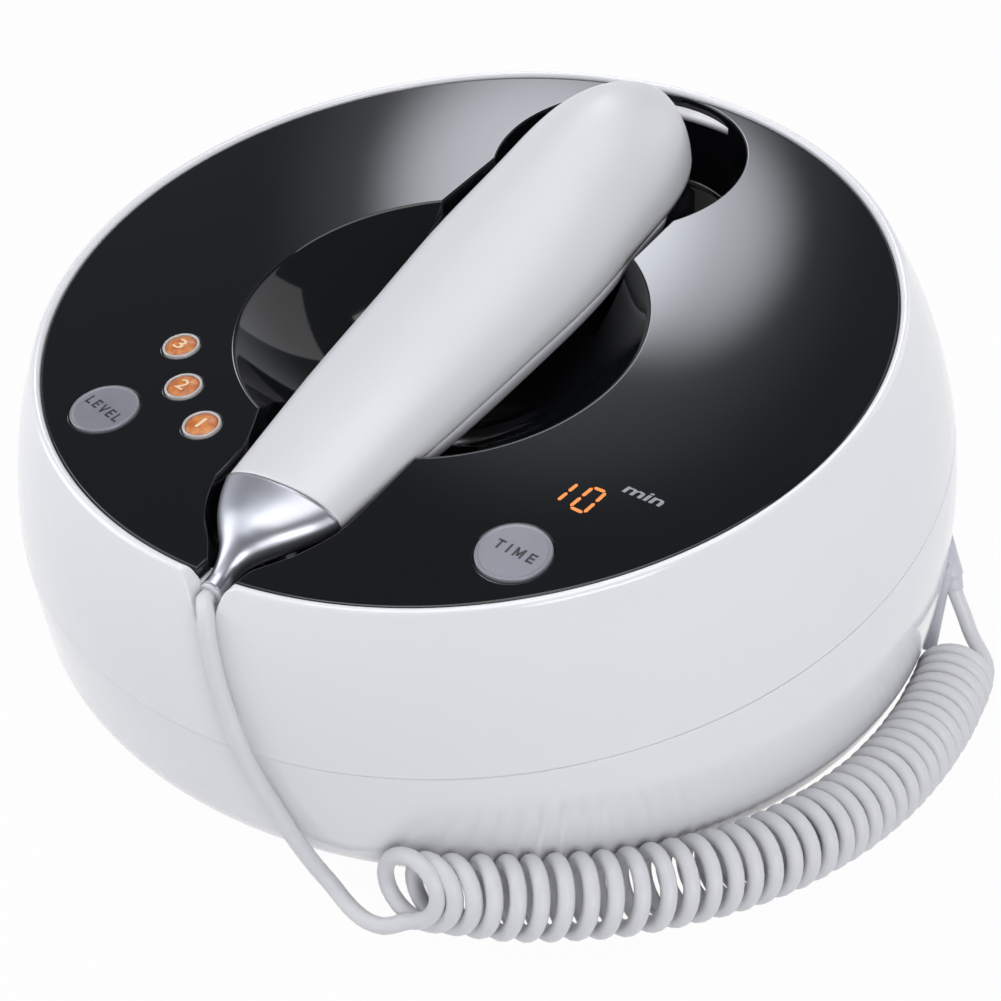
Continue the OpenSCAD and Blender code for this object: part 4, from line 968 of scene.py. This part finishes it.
for z in z_grid:
    for a in turn_grid:
        edge = min(a - turn_grid[0], turn_grid[-1] - a) * housing_r
        end = min(z - housing_z[0], housing_z[1] - z)
        inner_r = float(form_r(np.array([a]), np.array([z]))[0]) - 0.3
        r = max(housing_r - min(edge_drop(edge) + edge_drop(end), 1.15), inner_r + 0.35)
        front.append((r * math.sin(a), foot_centre_y - r * math.cos(a), z))
        behind.append((inner_r * math.sin(a), foot_centre_y - inner_r * math.cos(a), z))
housing = new_piece("cord_cover", np.array(front + behind), sheet_solid(rows_n, columns_n))
dress(housing, grey_plastic, "grey_plastic", "base", "cord_housing")

# ---- Screws
# Pan-head steel screws with a cross recess, of five sizes. The case screws sit deep in their
# wells, the others are inside.
size_names = ("Head Diameter", "Head Height", "Shank Diameter", "Shank Length")
screws, tree, start, end = new_group("screws", "GeometryNodeTree", {
    "Places": "Geometry", **dict.fromkeys(size_names, "Float"), "Material": "Material"}, {"Screws": "Geometry"})
diameter, height, shank_d, shank_l = (start[name] for name in size_names)


def upright(**parts):
    return tree.node("ShaderNodeCombineXYZ", **parts).outputs[0]


def moved(mesh, z):
    return tree.node("GeometryNodeTransform", Geometry=mesh, Translation=upright(Z=z)).outputs["Geometry"]


solids = []
for wide, deep, sides, sign in ((diameter, height, 24, -0.5), (shank_d, shank_l, 16, 0.5)):
    radius = tree.maths("MULTIPLY", wide, 0.5)
    solid = tree.node("GeometryNodeMeshCylinder", Vertices=sides, Radius=radius, Depth=deep)
    solids.append(moved(solid.outputs["Mesh"], tree.maths("MULTIPLY", deep, sign)))
recess = tree.node("GeometryNodeMeshBoolean", Mesh_1=solids[0])
recess.operation = "DIFFERENCE"
for x, y in ((0.62, 0.14), (0.14, 0.62)):
    slot_size = upright(X=tree.maths("MULTIPLY", diameter, x), Y=tree.maths("MULTIPLY", diameter, y), Z=height)
    slot = tree.node("GeometryNodeMeshCube", Size=slot_size)
    tree.feed(recess.inputs["Mesh 2"], moved(slot.outputs["Mesh"], tree.maths("MULTIPLY", height, -1.0)))
join = tree.node("GeometryNodeJoinGeometry", Geometry=recess.outputs["Mesh"])
tree.feed(join.inputs["Geometry"], solids[1])
placed = tree.node("GeometryNodeInstanceOnPoints", Points=start["Places"], Instance=join.outputs["Geometry"])
real = tree.node("GeometryNodeRealizeInstances", Geometry=placed.outputs["Instances"])
painted = tree.node("GeometryNodeSetMaterial", Geometry=real.outputs["Geometry"], Material=start["Material"])
tree.feed(end["Screws"], painted.outputs["Geometry"])
steel = Finish("steel", (0.50, 0.50, 0.51), 0.34, metal=1.0, tone=0.06, cloud=350, grain=5000, bump=0.006)
handle_matrix = panel_matrix @ Matrix.Translation(Vector((ring_at[0], ring_at[1], 0)) * mm) @ Matrix.Rotation(
    handle_yaw, 4, "Z")


def screw_set(name, places, sizes, matrix, body, node, flip=False):
    """One set of like screws: a point for each, under the head, and the tree's four sizes."""
    mesh = bpy.data.meshes.new(name)
    turn_over = Matrix.Rotation(math.pi, 4, "X") if flip else Matrix.Identity(4)
    local = [turn_over @ (Vector(p) * mm) for p in places]
    mesh.from_pydata(local, [], [])
    carrier = linked(name + "_places", mesh)
    modifier = carrier.modifiers.new("screws", "NODES")
    modifier.node_group = screws
    values = dict(zip(size_names, (s * mm for s in sizes)), Material=steel.material)
    for item in screws.interface.items_tree:
        if item.in_out == "INPUT" and item.name in values:
            modifier[item.identifier] = values[item.name]
    made = plain_mesh(carrier)
    bpy.data.objects.remove(carrier)
    made.transform(matrix @ turn_over)
    dress(linked(name, made), steel, "steel", body, node)


panel_screw_r = lip_r - 2.2
case_places = [(x, y, seam_z(x, y) - seat_under_seam) for x, y in column_at]
screw_set("screws_case", case_places, (6, 2.4, 2.6, 22), Matrix.Identity(4), "base", "case_screws")
panel_places = [(panel_screw_r * math.cos(t), panel_screw_r * math.sin(t), -5)
                for t in (math.radians(degrees) for degrees in (25, 155, 180, 0, -100))]
screw_set("screws_panel", panel_places, (3.6, 1.4, 2, 3.8), panel_matrix, "base", "panel_screws")
board_places = []
for board_turn, spots_at in ((math.radians(-31.8), [(-21, 76.5), (20, 80.5), (-20, 93.5), (20, 93.5)]),
                             (math.radians(50), [(-18, 70), (16.5, 94), (16.5, 70)])):
    c, s = math.cos(board_turn), math.sin(board_turn)
    board_places += [(x * c + y * s, x * s - y * c, -11.6) for x, y in spots_at]
screw_set("screws_board", board_places, (3.8, 1.4, 2, 5.6), panel_matrix, "base", "board_screws")
chassis_places = [(-6, -39, 15.1), (82, -39, 15.1), (-6, 39, 15.1), (82, 39, 15.1), (-90, 0, 9.0), (-26, 0, 9.0)]
screw_set("screws_chassis", chassis_places, (5, 1.8, 2.5, 6.6), Matrix.Identity(4), "base", "chassis_screws",
          flip=True)
screw_set("screws_handpiece", [(0, 75, -11.5), (0, 128, -11.5)], (4.6, 1.8, 2.2, 13), handle_matrix, "handpiece",
          "handle_screws")

# ---- Rear plate, mains inlet and switch
# A grey ABS plate in the window at the back. The two-pin inlet and the rocker switch clip
# into it, both in black nylon, with soft moulded edges.
def softened(name, node, radius):
    """A copy of a CAD node with its doubles merged, flat faces joined and edges rounded."""
    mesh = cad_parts[node].data.copy()
    work = bmesh.new()
    work.from_mesh(mesh)
    bmesh.ops.remove_doubles(work, verts=work.verts, dist=2e-6)
    bmesh.ops.dissolve_limit(work, angle_limit=math.radians(1), verts=work.verts, edges=work.edges)
    sharp = [e for e in work.edges if len(e.link_faces) == 2 and e.calc_face_angle(0) > math.radians(40)]
    bmesh.ops.bevel(work, geom=sharp, offset=radius * mm, segments=2, affect="EDGES", clamp_overlap=True)
    bmesh.ops.triangulate(work, faces=[f for f in work.faces if len(f.verts) > 4])
    bmesh.ops.remove_doubles(work, verts=work.verts, dist=1e-6)
    work.to_mesh(mesh)
    work.free()
    mesh.name = name
    mesh.shade_smooth()
    mesh.set_sharp_from_angle(angle=math.radians(38))
    return linked(name, mesh)


inlet_black = Finish("inlet_black", (0.02, 0.02, 0.022), 0.5, tone=0.12, cloud=250, grain=3500, bump=0.05)
rocker_black = Finish("rocker_black", (0.028, 0.028, 0.03), 0.34, tone=0.1, cloud=200, grain=1500, bump=0.012)
for name, node, radius, finish, slot, body in (
        ("plate_rear", "rear_plate", 0.5, grey_plastic, "grey_plastic", "base"),
        ("inlet_body", "power_inlet", 0.3, inlet_black, "black_plastic", "base"),
        ("switch_surround", "switch_frame", 0.3, inlet_black, "black_plastic", "base"),
        ("switch_rocker", "power_rocker", 0.35, rocker_black, "black_plastic", "rocker")):
    dress(softened(name, node, radius), finish, slot, body, node)

# ---- Rubber feet
# Four glued rubber discs with a moulded ring pattern on the sole, pressed in shallow seats.
foot_profile = [(0.25, 0), (0.25, 1.6), (0.05, 2.0), (0.0, 2.4), (0.25, 2.8), (0.25, 3.6), (0.05, 4.0), (0.0, 4.4),
                (0.25, 4.8), (0.25, 5.6), (0.05, 6.0), (0.0, 6.5), (0.12, 7.2), (0.35, 7.65), (0.7, 7.92), (1.1, 8.0),
                (3.2, 8.0), (3.2, 0)]
parts = []
for x, y in feet_at:
    p, f = turned(foot_profile, 56)
    parts.append((p + [x, y, 0], f))
rubber = Finish("rubber", (0.035, 0.035, 0.037), 0.72, tone=0.15, cloud=250, grain=2200, bump=0.06)
dress(several("feet", parts), rubber, "rubber", "base", "rubber_feet")

# ---- Circuit boards, their parts and the transformers
# Green boards with copper tracks under the lacquer, a laminated mains transformer, and the
# usual power parts. They are closed in by the shells, and keep their plain bodies.
circuit_board = Finish("circuit_board", (0.015, 0.11, 0.045), 0.38, tone=0.15, cloud=120, grain=1800, bump=0.01)
tracks = circuit_board.node("ShaderNodeTexBrick", Vector=circuit_board.place, Scale=210.0, Mortar_Size=0.035,
                            Color1=(0, 0, 0), Color2=(0.1, 0.1, 0.1), Mortar=(1, 1, 1))
circuit_board.recolour(tracks.outputs["Color"], (0.07, 0.26, 0.09))
circuit_board.raise_by(circuit_board.maths("MULTIPLY", tracks.outputs["Color"], 0.6))
core_steel = Finish("core_steel", (0.20, 0.19, 0.18), 0.45, metal=0.85, tone=0.15, cloud=90, grain=1500, bump=0.03)
core_steel.raise_by(core_steel.wave(900, "Y"))
copper_winding = Finish("copper_winding", (0.62, 0.36, 0.08), 0.38, metal=0.3, tone=0.15, cloud=150, grain=1500,
                        bump=0.04)
copper_winding.raise_by(copper_winding.wave(600, "Z"))
aluminium = Finish("aluminium", (0.66, 0.67, 0.69), 0.33, metal=1.0, tone=0.05, cloud=100, grain=3000, bump=0.008)
aluminium.raise_by(aluminium.wave(1500, "Z", distortion=2.0))
capacitor_sleeve = Finish("capacitor_sleeve", (0.03, 0.04, 0.12), 0.34, tone=0.1, cloud=120, grain=1500, bump=0.01)
stripe = capacitor_sleeve.maths("GREATER_THAN", capacitor_sleeve.wave(28, "X"), 0.93)
capacitor_sleeve.recolour(stripe, (0.5, 0.5, 0.52))
relay_blue = Finish("relay_blue", (0.03, 0.12, 0.35), 0.35, tone=0.08, cloud=120, grain=2500, bump=0.03)
terminal_green = Finish("terminal_green", (0.03, 0.25, 0.09), 0.45, tone=0.1, cloud=150, grain=2500, bump=0.04)
led_lens = Finish("led_lens", (0.85, 0.65, 0.3), 0.15, tone=0.1, cloud=600, grain=2500, bump=0.005)
for finish, slot, names in (
        (circuit_board, "circuit_board", ("level_board", "display_board", "main_board", "handle_board")),
        (black_plastic, "black_plastic", ("level_switch", "time_switch", "display_module", "power_transistors")),
        (core_steel, "core_steel", ("mains_transformer",)),
        (copper_winding, "copper_winding", ("output_transformer",)),
        (aluminium, "aluminium", ("heat_sink",)), (capacitor_sleeve, "capacitor_sleeve", ("capacitors",)),
        (relay_blue, "relay_blue", ("relay",)), (terminal_green, "terminal_green", ("terminal_block",)),
        (steel, "steel", ("fuse",)), (led_lens, "led_lens", ("level_leds",))):
    for name in names:
        for material_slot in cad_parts[name].material_slots:
            material_slot.material = finish.material

# ---- Table and light
# A white table that runs on to the horizon, soft lamps, and a dark ceiling with soft bright
# patches on the left: three that the glossy panel mirrors, and one for the tail cone.
floor_mesh = bpy.data.meshes.new("table_top")
reach = 30.0
corners = [(x * reach, y * reach, 0) for x, y in ((-1, -1), (1, -1), (1, 1), (-1, 1))]
floor_mesh.from_pydata(corners, [], [[0, 1, 2, 3]])
floor = linked("table_top", floor_mesh)
table = Finish("table_white", (0.60, 0.60, 0.61), 0.6, tone=0.004, cloud=5, grain=300, bump=0.002)
rays = table.node("ShaderNodeLightPath").outputs
seen = table.maths("MAXIMUM", rays["Is Camera Ray"],
                   table.maths("MAXIMUM", rays["Is Glossy Ray"], rays["Is Transmission Ray"]))
plain_white = 0.97
blend = table.nodes.new("ShaderNodeMixShader")
for socket, value in zip(blend.inputs, (table.maths("MULTIPLY", seen, plain_white), table.shader.outputs[0],
                                        table.node("ShaderNodeEmission", Color=(1, 1, 1)).outputs[0])):
    table.feed(socket, value)
table.feed(table.nodes["Material Output"].inputs[0], blend.outputs[0])
floor_mesh.materials.append(table.material)

scene.world = bpy.data.worlds.new("studio")
scene.world.use_nodes = True
studio = Tree(scene.world.node_tree)
way = studio.node("ShaderNodeTexCoord").outputs["Generated"]
height_up = studio.node("ShaderNodeSeparateXYZ", Vector=way).outputs["Z"]
horizon_level, ceiling_level, studio_tint = 0.8, 0.14, (0.95, 0.985, 1.06)
glow = studio.ramp(height_up, 0.12, 0.62, horizon_level, ceiling_level, "SMOOTHSTEP")
# Direction of each patch, the cosine at its edge, and its strength
for direction, edge_cosine, strength in (((-0.452, 0.587, 0.672), 0.9955, 5.0), ((-0.515, 0.556, 0.652), 0.993, 5.4),
                                         ((-0.50, 0.556, 0.664), 0.981, 0.6), ((-0.51, -0.08, 0.86), 0.94, 1.7)):
    dot = studio.nodes.new("ShaderNodeVectorMath")
    dot.operation = "DOT_PRODUCT"
    studio.feed(dot.inputs[0], way)
    studio.feed(dot.inputs[1], Vector(direction).normalized())
    patch = studio.ramp(dot.outputs["Value"], edge_cosine, 1.0, 0.0, strength, "SMOOTHERSTEP")
    glow = studio.maths("ADD", glow, patch)
cool = studio.node("ShaderNodeVectorMath")
cool.operation = "SCALE"
studio.feed(cool.inputs[0], studio_tint)
studio.feed(cool.inputs["Scale"], glow)
white = studio.mix(studio.node("ShaderNodeLightPath").outputs["Is Camera Ray"], cool.outputs["Vector"], (1, 1, 1))
studio.feed(studio.nodes["Background"].inputs["Color"], white)

aim = Vector((0, 0, 0.05))
for name, place, size, power in (
        ("lamp_over", (-0.1, 0.0, 1.3), 0.9, 6.5), ("lamp_left", (-1.2, -0.6, 0.75), 0.9, 6.8),
        ("lamp_right", (1.1, -0.7, 0.7), 0.7, 7.2), ("lamp_rear", (0.5, 1.2, 0.9), 0.9, 2.5)):
    lamp = linked(name, bpy.data.lights.new(name, "AREA"))
    lamp.data.size = size
    lamp.data.energy = power
    lamp.location = place
    lamp.rotation_euler = (Vector(place) - aim).to_track_quat("Z", "Y").to_euler()
scene.view_settings.view_transform = "Standard"
